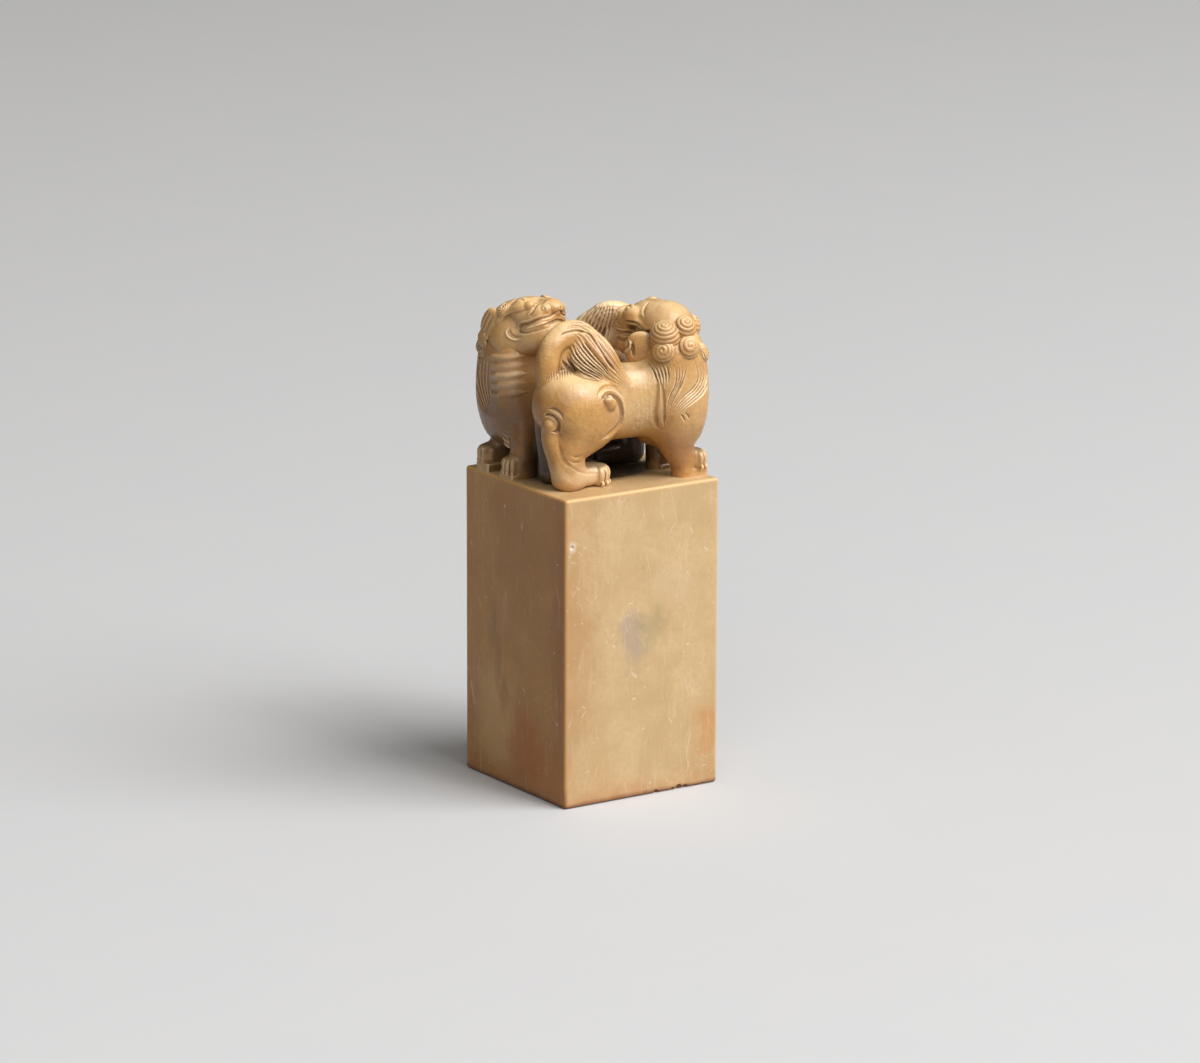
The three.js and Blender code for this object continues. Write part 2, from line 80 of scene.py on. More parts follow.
def join(clay, part, d, blend, cut=False):
    old = clay["d"][part]
    if cut:
        h = np.clip(0.5 - 0.5 * (old + d) / max(blend, 1e-4), 0, 1)
        clay["d"][part] = old + (-d - old) * h + blend * h * (1 - h)
    else:
        h = np.clip(0.5 + 0.5 * (d - old) / max(blend, 1e-4), 0, 1)
        clay["d"][part] = d + (old - d) * h - blend * h * (1 - h)


def unit(v):
    v = np.array(v, float)
    return v / np.linalg.norm(v)


def turned(degrees):
    x, y, z = (Matrix.Rotation(math.radians(a), 3, axis) for a, axis in zip(degrees, "XYZ"))
    return np.array(z @ y @ x)


def roundness(u, v, w, radii, square):
    if square == 2:
        k = np.sqrt(u * u + v * v + w * w)
    else:
        k = (np.abs(u) ** square + np.abs(v) ** square + np.abs(w) ** square) ** (1 / square)
    slope = np.sqrt((u / radii[0]) ** 2 + (v / radii[1]) ** 2 + (w / radii[2]) ** 2)
    return k * (k - 1) / np.maximum(slope, 1e-3)


def egg(clay, at, radii, turn=(0, 0, 0), blend=0.6, cut=False, square=2):
    reach = max(radii) + blend + 1
    part, axes = window(clay, np.array(at) - reach, np.array(at) + reach)
    spin = turned(turn)
    u, v, w = (along(axes, at, spin[:, i]) / radii[i] for i in range(3))
    join(clay, part, roundness(u, v, w, radii, square), blend, cut)


def slab(clay, low, high, edge, blend):
    low, high = np.array(low, float), np.array(high, float)
    part, axes = window(clay, low - 1.5, high + 1.5)
    mid, half = (low + high) / 2, (high - low) / 2 - edge
    q = [np.abs(axes[i] - mid[i]) - half[i] for i in range(3)]
    outside = np.sqrt(sum(np.maximum(a, 0) ** 2 for a in q))
    inside = np.minimum(np.maximum(np.maximum(q[0], q[1]), q[2]), 0)
    join(clay, part, outside + inside - edge, blend)


def keepInside(clay, low, high):
    axes = window(clay, clay["low"], clay["low"] + np.array(clay["d"].shape) * clay["grain"])[1]
    for i in range(3):
        edge = np.maximum(low[i] - axes[i], axes[i] - high[i])
        clay["d"] = np.maximum(clay["d"], edge)


def smoothPath(rows, steps):
    rows = np.array(rows, float)
    ends = np.vstack([2 * rows[0] - rows[1], rows, 2 * rows[-1] - rows[-2]])
    out = []
    for i in range(1, len(ends) - 2):
        a, b, c, e = ends[i - 1:i + 3]
        for t in np.arange(steps) / steps:
            out.append(0.5 * (2 * b + (c - a) * t + (2 * a - 5 * b + 4 * c - e) * t * t
                              + (3 * b - a - 3 * c + e) * t ** 3))
    out.append(rows[-1])
    return np.array(out)


# a tapering form along a spine; each row is x, y, z, half across, half thick
def limb(clay, spine, up, blend=0.8, square=2, steps=5, flutes=None, cut=False):
    rows = smoothPath(spine, steps)
    rows[:, 3:] = np.maximum(rows[:, 3:], 0.15)
    reach = rows[:, 3:].max() + blend + 1
    whole = window(clay, rows[:, :3].min(0) - reach, rows[:, :3].max(0) + reach)[0]
    best = np.full([s.stop - s.start for s in whole], seal["clayFar"], np.float32)
    for i in range(len(rows) - 1):
        a, b = rows[i], rows[i + 1]
        near = max(a[3:].max(), b[3:].max()) + blend + 1
        part, axes = window(clay, np.minimum(a, b)[:3] - near, np.maximum(a, b)[:3] + near)
        step = b[:3] - a[:3]
        length = np.linalg.norm(step)
        way = step / length
        across = unit(np.cross(up, way))
        face = np.cross(way, across)
        go = along(axes, a[:3], way)
        s = np.clip(go / length, 0, 1)
        half = a[3] + (b[3] - a[3]) * s
        thick = a[4] + (b[4] - a[4]) * s
        u = along(axes, a[:3], across) / half
        v = along(axes, a[:3], face) / thick
        w = (go - s * length) / np.minimum(half, thick)
        d = roundness(u, v, w, (half, thick, np.minimum(half, thick)), square)
        if flutes:
            done = (i + s) / (len(rows) - 1)
            ripple = np.abs(np.sin(math.pi * flutes["count"] * (u + 1) / 2)) ** 0.7
            rise = np.clip((done - flutes["from"]) / 0.12, 0, 1) * np.clip((1.02 - done) / 0.1, 0, 1)
            d = d + flutes["depth"] * (1 - ripple) * rise * (np.abs(u) < 1.05)
        inner = tuple(slice(p.start - w0.start, p.stop - w0.start) for p, w0 in zip(part, whole))
        best[inner] = np.minimum(best[inner], d)
    join(clay, whole, best, blend, cut)


# a snail curl: a low beehive with one ridge winding to its tip
def curl(clay, at, way, radius, height, turns, ridge, hand, blend=0.15):
    reach = radius + height + 1
    part, axes = window(clay, np.array(at) - reach, np.array(at) + reach)
    way = unit(way)
    side = unit(np.cross(way, (0.3, 0.2, 1) if abs(way[2]) < 0.8 else (1, 0.2, 0)))
    top = np.cross(way, side)
    a, b, h = along(axes, at, side), along(axes, at, top), along(axes, at, way)
    out = np.sqrt(a * a + b * b)
    d = roundness(a / radius, b / radius, h / height, (radius, radius, height), 2)
    climb = np.arctan2(np.maximum(h, -0.3 * height) / height, out / radius + 1e-4) / (math.pi / 2)
    phase = climb * turns + hand * np.arctan2(b, a) / (2 * math.pi)
    d = d + ridge * (1 - np.abs(np.sin(math.pi * phase)) ** 0.6) - ridge * 0.4
    join(clay, part, d, blend)


# a foot from its heel to the ball, with four fat toes fanned about the way it aims
def paw(clay, heel, ball, aim, width, height, fan, plinth=None, rise=0.0):
    heel, ball = np.array(heel, float), np.array(ball, float)
    claw = 0.4
    rows = []
    for share, wide, tall in ((0.0, 0.40, 0.47), (0.5, 0.45, 0.53), (1.0, 0.46, 0.50)):
        x, y = heel + (ball - heel) * share
        rows.append((x, y, rise + height * tall, width * wide, height * tall))
    limb(clay, rows, (0, 0, 1), 0.7, 2.4)

    def atToe(steps, reach, tall, radii, tip, *how):
        for step in steps:
            lie = aim + step * fan
            way = np.array((math.cos(math.radians(lie)), math.sin(math.radians(lie))))
            x, y = ball + way * (width * 0.5 + reach)
            egg(clay, (x, y, rise + height * tall), radii, (0, tip, lie), *how)

    toes, gaps = (-1.5, -0.5, 0.5, 1.5), (-1, 0, 1)
    atToe(toes, -1.1, 0.46, (1.5, width * 0.165, height * 0.47), 12, 0.3, False, 2.4)
    atToe(gaps, 0.25, 0.36, (1.1, 0.13, height * 0.46), 20, 0.15, True)
    atToe(toes, 0.22, 0.15, (claw * 0.85, claw * 0.75, claw * 1.1), -15, 0.05)
    if plinth:
        slab(clay, plinth[0], plinth[1], 0.25, 0.12)


# which points lie under a stroke in the plane of a view, and the share of its depth that each gets
def strokeDepth(flat, path, width, taper):
    path = smoothPath(path, 6)
    low, high = path.min(0) - width, path.max(0) + width
    near = np.where(np.all((flat > low) & (flat < high), axis=1))[0]
    best = np.full(len(near), 9.0)
    where = np.zeros(len(near))
    spots = flat[near]
    for i in range(len(path) - 1):
        step = path[i + 1] - path[i]
        t = np.clip(((spots - path[i]) @ step) / max(step @ step, 1e-9), 0, 1)
        gap = np.linalg.norm(spots - path[i] - t[:, None] * step, axis=1)
        closer = gap < best
        best[closer] = gap[closer]
        where[closer] = ((i + t) / (len(path) - 1))[closer]
    ends = np.minimum(where, 1 - where) / max(taper, 1e-3)
    depth = np.clip(1 - best / (width * np.clip(ends, 0.25, 1)), 0, 1)
    return near, depth * depth * (3 - 2 * depth) * np.clip(ends, 0.2, 1)


# strokes spread evenly from a first one to a last one
def between(first, last, count):
    t = np.linspace(0, 1, 12)
    first, last = (np.array([np.interp(t, np.linspace(0, 1, len(c)), c[:, k]) for k in (0, 1)]).T
                   for c in (smoothPath(first, 4), smoothPath(last, 4)))
    return [first + (last - first) * (i / (count - 1)) for i in range(count)]


# the first skin met when looking along a view at a point of its plane, and which way it faces
def touch(clay, view, p, q):
    far = np.arange(28, -28, -0.05)
    spots = p * view["across"] + q * view["up"] + far[:, None] * view["toward"]
    index = np.rint((spots - clay["low"]) / clay["grain"]).astype(int)
    inside = np.all((index >= 1) & (index < np.array(clay["d"].shape) - 1), axis=1)
    index = index[inside]
    first = np.argmax(clay["d"][index[:, 0], index[:, 1], index[:, 2]] < 0)
    i = index[first]
    slope = [clay["d"][tuple(i + e)] - clay["d"][tuple(i - e)] for e in np.eye(3, dtype=int)]
    return spots[inside][first], unit(slope)


def viewOf(across, up, toward):
    return {"across": np.array(across), "up": np.array(up), "toward": np.array(toward)}


def roundView(angle):
    a = math.radians(angle)
    return viewOf((-math.sin(a), math.cos(a), 0), (0, 0, 1), (math.cos(a), math.sin(a), 0))


outerView = viewOf((0.832, -0.555, 0.003), (0.132, 0.204, 0.970), (-0.538, -0.807, 0.243))
innerView = {label: line * (-1, -1, 1) for label, line in outerView.items()}     # the same from behind


def pointsOf(mesh, what="co"):
    values = np.empty(len(mesh.vertices) * 3, np.float32)
    mesh.vertices.foreach_get(what, values)
    return values.reshape(-1, 3)


def mark(mesh, name, values):
    mesh.attributes.new(name, "FLOAT", "POINT").data.foreach_set("value", np.array(values, np.float32))


def smooth(mesh):
    mesh.polygons.foreach_set("use_smooth", np.ones(len(mesh.polygons), bool))


def dress(mesh, material):
    mesh.materials.clear()
    mesh.materials.append(material)


def newObject(name, data):
    thing = bpy.data.objects.new(name, data)
    bpy.context.scene.collection.objects.link(thing)
    return thing


def baked(holder):
    bpy.context.view_layer.update()
    return bpy.data.meshes.new_from_object(holder.evaluated_get(bpy.context.evaluated_depsgraph_get()))


# a soft limit for the chisel: 0 before it and 1 well past it, along an axis
def past(axis, limit, soft=0.6, sign=1):
    return lambda co: np.clip((co[:, axis] * sign - limit) / soft, 0, 1)


# each job is a stroke path with its half width, depth (below 0 raises) and taper
def chisel(mesh, view, jobs, limits, unseenFrom=()):
    co, normal = pointsOf(mesh).astype(float), pointsOf(mesh, "normal").astype(float)
    flat = np.stack([co @ view["across"], co @ view["up"]], 1)
    facing = np.clip((normal @ view["toward"] - 0.08) / 0.25, 0, 1)
    for other in unseenFrom:
        facing = facing * np.clip((0.25 - normal @ other["toward"]) / 0.2, 0, 1)
    facing = facing * math.prod(limit(co) for limit in limits)
    kept = np.where(facing > 0)[0]
    flat = flat[kept]
    sink = np.zeros(len(kept))
    for path, width, depth, taper in jobs:
        near, amount = strokeDepth(flat, path, width, taper)
        if depth > 0:
            sink[near] = np.maximum(sink[near], amount * depth)
        else:
            sink[near] += amount * depth
    co[kept] -= normal[kept] * (sink * facing[kept])[:, None]
    mesh.vertices.foreach_set("co", co.astype(np.float32).ravel())
    mesh.update()


def meshFromClay(clay, name):
    grid = openvdb.FloatGrid(seal["clayFar"])
    grid.copyFromArray(clay["d"])
    points, quads = grid.convertToQuads(0.0)
    points = points * clay["grain"] + clay["low"]
    a, b, c = points[quads[:, 0]], points[quads[:, 1]], points[quads[:, 2]]
    if np.einsum("ij,ij->i", a, np.cross(b, c)).sum() < 0:
        quads = quads[:, ::-1]
    mesh = bpy.data.meshes.new(name)
    mesh.vertices.add(len(points))
    mesh.vertices.foreach_set("co", points.astype(np.float32).ravel())
    mesh.loops.add(len(quads) * 4)
    mesh.loops.foreach_set("vertex_index", quads.astype(np.int32).ravel())
    mesh.polygons.add(len(quads))
    mesh.polygons.foreach_set("loop_start", np.arange(0, len(quads) * 4, 4, dtype=np.int32))
    mesh.update(calc_edges=True)
    mesh.validate()
    return mesh


def thinned(mesh, most):
    count = sum(len(p.vertices) - 2 for p in mesh.polygons)
    holder = newObject("thinning", mesh)
    holder.modifiers.new("thin", "DECIMATE").ratio = min(1.0, most / count)
    result = baked(holder)
    result.name = mesh.name
    bpy.data.objects.remove(holder)
    bpy.data.meshes.remove(mesh)
    return result


# how hollow, grooved, proud, deep and keen the stone is at each point, for dust, handling wear, painted shade and
# painted highlights
def markHollows(mesh, clay):
    co, normal = pointsOf(mesh), pointsOf(mesh, "normal")
    count, end = len(co), np.array(clay["d"].shape) - 1

    def sample(shift):
        place = (co + normal * shift - clay["low"]) / clay["grain"]
        spot = np.clip(np.rint(place).astype(int), 0, end)
        beyond = np.linalg.norm(place - np.clip(place, 0, end), axis=1) * clay["grain"]
        return clay["d"][spot[:, 0], spot[:, 1], spot[:, 2]] + beyond

    def closed(reach):
        return 1 - sample(reach) / reach

    hollow = sum(np.clip(closed(reach), 0, 1.3) * share for reach, share in ((0.5, 0.45), (1.1, 0.4), (2.2, 0.35)))
    mark(mesh, "hollow", np.clip(hollow, 0, 1))
    mark(mesh, "groove", np.clip((-sample(0) - 0.05) / 0.3, 0, 1))
    mark(mesh, "proud", np.clip((sample(-0.9) + 0.9) / 0.55, 0, 1))
    # how closed in the stone is a few mm out, for painted shade in the depths
    mark(mesh, "deepShade", np.clip(closed(3.6), 0, 1))
    ends = np.empty(len(mesh.edges) * 2, np.int32)
    mesh.edges.foreach_get("vertices", ends)
    a, b = ends[0::2], ends[1::2]
    step = co[b] - co[a]
    step /= np.maximum(np.linalg.norm(step, axis=1), 1e-6)[:, None]

    def climb(at):
        return np.einsum("ij,ij->i", step, normal[at])

    share = np.maximum(np.bincount(a, minlength=count) + np.bincount(b, minlength=count), 1)
    keen = (np.bincount(a, -climb(a), count) + np.bincount(b, climb(b), count)) / share
    mark(mesh, "keen", 0.4 * keen + 0.6 * (np.bincount(a, keen[b], count) + np.bincount(b, keen[a], count)) / share)


def placed(mesh, name, material, half):
    mesh.transform(Matrix.Scale(mm, 4) @ Matrix.Translation((0, 0, seal["blockTop"])))
    if half:     # turned half round the block
        mesh.transform(Matrix.Rotation(math.pi, 4, "Z"))
    smooth(mesh)
    mesh.update()
    # how much each point faces up, for a painted top light on the carved stone
    mark(mesh, "sky", np.clip(pointsOf(mesh, "normal")[:, 2], 0, 1))
    dress(mesh, material)
    return newObject(name, mesh)


# a socket takes a link from a node or a socket, or else a plain value
def feed(tree, socket, value):
    if isinstance(value, bpy.types.Node):
        value = value.outputs[0]
    if isinstance(value, bpy.types.NodeSocket):
        tree.links.new(value, socket)
    else:
        socket.default_value = (*value, 1) if socket.type == "RGBA" else value


def put(tree, kind, sockets=None, **settings):
    node = tree.nodes.new(kind)
    for label, value in settings.items():
        setattr(node, label, value)
    for label, value in (sockets or {}).items():
        if value is not None:
            feed(tree, node.inputs[label], value)
    return node


def newTree(name, kind, inputs, outputs):
    tree = bpy.data.node_groups.new(name, kind)
    for label, sort, value in inputs:
        socket = tree.interface.new_socket(label, in_out="INPUT", socket_type="NodeSocket" + sort)
        if value is not None:
            socket.default_value = value
    for label, sort in outputs:
        tree.interface.new_socket(label, in_out="OUTPUT", socket_type="NodeSocket" + sort)
    return tree, tree.nodes.new("NodeGroupInput"), tree.nodes.new("NodeGroupOutput")


def mathNode(tree, kind, a, b=None, clamp=False):
    return put(tree, "ShaderNodeMath", {0: a, 1: b}, operation=kind, use_clamp=clamp).outputs[0]


def plus(tree, a, b):
    return mathNode(tree, "ADD", a, b)


def times(tree, a, b):
    return mathNode(tree, "MULTIPLY", a, b)


def flipped(tree, mask):
    return mathNode(tree, "SUBTRACT", 1.0, mask)


def vectorMath(tree, kind, a, b=None, scale=None):
    node = put(tree, "ShaderNodeVectorMath", {0: a, 1: b, "Scale": scale}, operation=kind)
    return node.outputs["Value" if kind == "LENGTH" else "Vector"]


def mixColor(tree, amount, a, b, kind="MIX"):     # sockets 6 and 7 are the two colours, and output 2 the mix
    return put(tree, "ShaderNodeMix", {0: amount, 6: a, 7: b}, data_type="RGBA", blend_type=kind).outputs[2]


def ramp(tree, value, low, high):
    sockets = {"Value": value, "From Min": low, "From Max": high}
    return put(tree, "ShaderNodeMapRange", sockets, interpolation_type="SMOOTHSTEP").outputs["Result"]


def noise(tree, place, scale, detail=3, rough=0.55, distort=0.0):
    sockets = {"Vector": place, "Scale": scale, "Detail": detail, "Roughness": rough, "Distortion": distort}
    return put(tree, "ShaderNodeTexNoise", sockets).outputs["Fac"]


def layered(tree, colour, rows):     # each row is mask, share and tint, laid over the colour in turn
    for mask, share, tint in rows:
        colour = mixColor(tree, times(tree, mask, share), colour, tint)
    return colour


# shader groups shared by the stones
def stoneMottleGroup():
    tree, given, out = newTree(
        "stoneMottle", "ShaderNodeTree",
        [("Place", "Vector", None), ("Light", "Color", (0.6, 0.4, 0.2, 1)), ("Dark", "Color", (0.4, 0.22, 0.1, 1)),
         ("Warm", "Color", (0.5, 0.2, 0.06, 1)), ("Warm Amount", "Float", 0.3)],
        [("Color", "Color"), ("Height", "Float")])
    place, dark = given.outputs["Place"], given.outputs["Dark"]
    clouds = noise(tree, place, 95.0, 4, 0.6, 0.6)
    bands = noise(tree, place, 38.0, 3, 0.5, 1.2)
    specks = noise(tree, place, 900.0, 3, 0.65)
    patches = noise(tree, place, 330.0, 4, 0.65)
    grain = noise(tree, place, 1500.0, 2, 0.6)
    base = mixColor(tree, ramp(tree, clouds, 0.32, 0.7), given.outputs["Light"], dark)
    base = layered(tree, base, [
        (ramp(tree, bands, 0.5, 0.72), given.outputs["Warm Amount"], given.outputs["Warm"]),
        (ramp(tree, specks, 0.58, 0.76), 0.3, (0.34, 0.23, 0.11)),
        (ramp(tree, patches, 0.48, 0.72), 0.4, dark),
        (ramp(tree, flipped(tree, specks), 0.6, 0.78), 0.25, (0.80, 0.62, 0.38)),
        (ramp(tree, grain, 0.4, 0.68), 0.45, dark)])
    feed(tree, out.inputs["Color"], base)
    feed(tree, out.inputs["Height"], specks)
    return tree


def scratchGroup():
    tree, given, out = newTree("handScratches", "ShaderNodeTree", [("Place", "Vector", None), ("Scale", "Float", 60.0),
                                                                   ("Amount", "Float", 0.5)], [("Mask", "Float")])
    total = None
    for turn, squeeze, shift in (((0.06, 0.10, 0.3), 9, 0.0), ((-0.14, 0.05, 1.2), 8, 3.7),
                                 ((0.5, -0.35, 0.5), 7, 8.1), ((1.1, 0.5, 2.1), 8, 5.3)):
        spun = put(tree, "ShaderNodeMapping", {"Vector": given.outputs["Place"], "Rotation": turn,
                   "Location": (shift, shift * 0.7, -shift), "Scale": (squeeze, squeeze, 1)}).outputs["Vector"]
        cells = put(tree, "ShaderNodeTexVoronoi", {"Vector": spun, "Scale": given.outputs["Scale"]},
                    feature="DISTANCE_TO_EDGE")
        line = flipped(tree, ramp(tree, cells.outputs["Distance"], 0.0, 0.006))
        line = times(tree, line, ramp(tree, noise(tree, spun, 70.0 + shift, 1), 0.56, 0.66))
        total = line if total is None else mathNode(tree, "MAXIMUM", total, line)
    feed(tree, out.inputs["Mask"], times(tree, total, given.outputs["Amount"]))
    return tree


def patchGroup():
    tree, given, out = newTree(
        "softPatch", "ShaderNodeTree",
        [("Place", "Vector", None), ("Centre", "Vector", (0, 0, 0)), ("Stretch", "Vector", (1, 1, 1)),
         ("Reach", "Float", 0.004), ("Ragged", "Float", 0.003)], [("Mask", "Float")])
    place, reach = given.outputs["Place"], given.outputs["Reach"]
    off = vectorMath(tree, "SUBTRACT", place, given.outputs["Centre"])
    far = vectorMath(tree, "LENGTH", vectorMath(tree, "MULTIPLY", off, given.outputs["Stretch"]))
    wobble = mathNode(tree, "SUBTRACT", noise(tree, place, 260.0, 4, 0.6, 0.5), 0.5)
    far = plus(tree, far, times(tree, wobble, given.outputs["Ragged"]))
    feed(tree, out.inputs["Mask"], flipped(tree, ramp(tree, far, times(tree, reach, 0.25), reach)))
    return tree


stoneMottle, handScratches, softPatch = stoneMottleGroup(), scratchGroup(), patchGroup()


def useGroup(tree, group, place, values):
    return put(tree, "ShaderNodeGroup", {"Place": place, **values}, node_tree=group)


def patchMask(tree, place, centre, stretch, reach, ragged):
    values = {"Centre": centre, "Stretch": stretch, "Reach": reach, "Ragged": ragged}
    return useGroup(tree, softPatch, place, values).outputs["Mask"]


def tinted(tree, place, colour, stainsAndPaintedLight):     # each stain or patch of painted light or shade is centre, stretch, reach, ragged, tint, strength
    for *where, tint, strength in stainsAndPaintedLight:
        colour = layered(tree, colour, [(patchMask(tree, place, *where), strength, tint)])
    return colour


def scratches(tree, place, scale, amount):
    return useGroup(tree, handScratches, place, {"Scale": scale, "Amount": amount}).outputs["Mask"]


def newMaterial(name, values):
    material = bpy.data.materials.new(name)
    material.use_nodes = True
    tree = material.node_tree
    shader = tree.nodes["Principled BSDF"]
    for label, value in values.items():
        feed(tree, shader.inputs[label], value)
    return material, tree, shader, put(tree, "ShaderNodeTexCoord").outputs["Object"]


def newStone(name, roughness, subsurface, coat, gloss):
    return newMaterial(name, {
        "Roughness": roughness, "IOR": 1.53, "Specular IOR Level": gloss, "Subsurface Weight": subsurface,
        "Subsurface Radius": (1.0, 0.45, 0.2), "Subsurface Scale": 0.0012, "Coat Weight": coat, "Coat Roughness": 0.22})


def finishStone(tree, shader, colour, rough, height, strength, distance):
    bump = put(tree, "ShaderNodeBump", {"Strength": strength, "Distance": distance, "Height": height})
    for label, source in (("Base Color", colour), ("Roughness", rough), ("Normal", bump)):
        feed(tree, shader.inputs[label], source)


carvedLook = {
    "mottle": {"Light": (0.62, 0.345, 0.104), "Dark": (0.44, 0.205, 0.056), "Warm": (0.43, 0.15, 0.036),
               "Warm Amount": 0.45},
    # proud stone: handling wear with a painted highlight; tops: a painted top light; hollows: dirt with painted shade
    "wearAndPaintedHighlight": (0.72, 0.49, 0.24), "lit": (0.93, 0.70, 0.39), "grimeAndShade": (0.25, 0.125, 0.045),
    # creases and depths: painted shade
    "paintedCreaseShade": (0.23, 0.105, 0.033), "paintedDepthShade": (0.12, 0.06, 0.022), "dust": (0.50, 0.37, 0.215),
    # the ridge tint is a painted highlight on sharp crests
    "ridge": (0.86, 0.65, 0.39), "crumbs": (0.78, 0.66, 0.48), "scuff": (0.82, 0.68, 0.46),
    "scratch": (0.80, 0.66, 0.46),
    "stainsAndPaintedLight": [
        # painted light on the rear lion's face
        ((-0.0125, 0.0035, 0.0765), (0.8, 0.8, 1.0), 0.0080, 0.004, (0.84, 0.50, 0.20), 0.5),
        ((-0.0125, 0.0010, 0.0712), (0.6, 0.6, 1.3), 0.0042, 0.003, (0.46, 0.19, 0.06), 0.45),
        # painted shade with some grime on the rear lion's low chest, belly and outer side
        ((-0.0145, 0.0065, 0.0595), (0.8, 0.7, 0.75), 0.0085, 0.004, (0.18, 0.08, 0.028), 0.8),
        ((-0.0118, 0.0028, 0.0635), (0.9, 1.0, 0.8), 0.0052, 0.003, (0.20, 0.10, 0.042), 0.75),
        ((-0.0149, 0.0112, 0.0665), (0.8, 1.0, 0.45), 0.0050, 0.003, (0.30, 0.15, 0.06), 0.6),
        # painted light on the rear lion's throat
        ((-0.0138, 0.0046, 0.0690), (0.8, 0.9, 1.0), 0.0046, 0.006, (0.90, 0.72, 0.48), 0.24),
        # painted light on the rear lion's tail plume and on the top of the front lion's hind foot
        ((0.0053, 0.0065, 0.0755), (0.8, 0.8, 0.8), 0.0062, 0.003, (0.95, 0.76, 0.50), 0.8),
        ((-0.0085, -0.0080, 0.0540), (0.6, 0.8, 1.0), 0.0046, 0.003, (0.95, 0.76, 0.50), 0.45),
        ((0.0065, -0.0110, 0.0770), (0.9, 0.9, 0.9), 0.0046, 0.003, (0.56, 0.34, 0.14), 0.4),
        # painted light on the rear lion's face
        ((-0.0135, 0.0020, 0.0760), (0.8, 0.8, 0.8), 0.0040, 0.003, (0.84, 0.60, 0.33), 0.35),
        # painted shade on the front lion's foreleg
        ((0.0086, -0.0130, 0.0560), (0.8, 0.6, 0.6), 0.0044, 0.003, (0.34, 0.15, 0.05), 0.75),
        # a dusty rub with a painted highlight on the front lion's torso
        ((0.0015, -0.0115, 0.0665), (0.7, 0.6, 0.8), 0.0056, 0.005, (0.88, 0.68, 0.40), 0.25),
        ((0.0125, -0.0130, 0.0655), (0.7, 0.8, 0.6), 0.0060, 0.004, (0.80, 0.54, 0.27), 0.3),
        # painted shade on the inner hind legs under both bellies
        ((-0.0102, -0.0022, 0.0555), (0.9, 1.0, 0.45), 0.0052, 0.002, (0.07, 0.040, 0.018), 1.4),
        ((0.0102, 0.0022, 0.0555), (0.9, 1.0, 0.45), 0.0052, 0.002, (0.07, 0.040, 0.018), 1.4),
    ],
    # painted shade under both bellies, and a dry rubbed spot on the front flank
    "bellyShade": [((0, 0, 0.0535), (0.54, 1.0, 1.27), 0.0092, 0.002, (0.050, 0.029, 0.013), 1.8)],
    "scuffPlace": ((0.0018, -0.0114, 0.0632), (1.3, 0.6, 0.8), 0.0040, 0.004),
}


def carvedStone():
    material, tree, shader, place = newStone("carved_stone", 0.4, 0.10, 0.32, 0.38)
    look = carvedLook
    mottle = useGroup(tree, stoneMottle, place, look["mottle"])
    hollow, groove, proud, deepShade, keen, sky = (put(tree, "ShaderNodeAttribute", attribute_name=name).outputs["Fac"]
                                              for name in ("hollow", "groove", "proud", "deepShade", "keen", "sky"))
    patchy = ramp(tree, noise(tree, place, 420.0, 4, 0.65), 0.3, 0.75)
    edge = plus(tree, hollow, times(tree, patchy, 0.35))
    dust = times(tree, ramp(tree, edge, 0.6, 1.2), ramp(tree, noise(tree, place, 160.0, 3), 0.42, 0.66))
    # a painted top light: surfaces that face up are tinted paler
    lit = times(tree, ramp(tree, sky, 0.15, 1.0), ramp(tree, noise(tree, place, 300.0, 4, 0.6), 0.2, 0.6))
    # proud stone is paler from handling wear and a painted highlight
    colour = layered(tree, mottle.outputs["Color"], [
        (ramp(tree, proud, 0.35, 1.0), 0.35, look["wearAndPaintedHighlight"]),
        (lit, 0.62, look["lit"])])
    # stains, with painted light and painted shade on some parts
    colour = tinted(tree, place, colour, look["stainsAndPaintedLight"])
    # dirt and painted shade in hollows and grooves, painted shade in creases and depths, pale dust, and a painted
    # highlight on sharp crests
    colour = layered(tree, colour, [
        (ramp(tree, edge, 0.4, 1.0), 0.22, look["grimeAndShade"]),
        (groove, 0.14, look["grimeAndShade"]),
        (ramp(tree, times(tree, keen, -1.0), 0.02, 0.13), 0.52, look["paintedCreaseShade"]),
        (ramp(tree, deepShade, 0.25, 0.9), 0.8, look["paintedDepthShade"]),
        (dust, 0.3, look["dust"]),
        (ramp(tree, keen, 0.025, 0.12), 0.58, look["ridge"])])
    # painted shade under both bellies
    colour = tinted(tree, place, colour, look["bellyShade"])
    crumbs = times(tree, ramp(tree, noise(tree, place, 2600.0, 2, 0.6), 0.62, 0.7), ramp(tree, edge, 0.3, 0.75))
    scuff = times(tree, patchMask(tree, place, *look["scuffPlace"]),
                  ramp(tree, noise(tree, place, 3200.0, 3, 0.75), 0.48, 0.66))
    colour = layered(tree, colour, [(crumbs, 0.45, look["crumbs"]), (scuff, 0.4, look["scuff"])])
    colour = mixColor(tree, scratches(tree, place, 170.0, 0.32), colour, look["scratch"])
    rough = plus(tree, plus(tree, 0.36, times(tree, dust, 0.4)), times(tree, patchy, 0.08))
    waver = times(tree, noise(tree, place, 330.0, 4, 0.6), 1.8)
    height = plus(tree, waver, times(tree, mottle.outputs["Height"], 0.5))
    finishStone(tree, shader, colour, rough, height, 0.6, 0.00026)
    return material


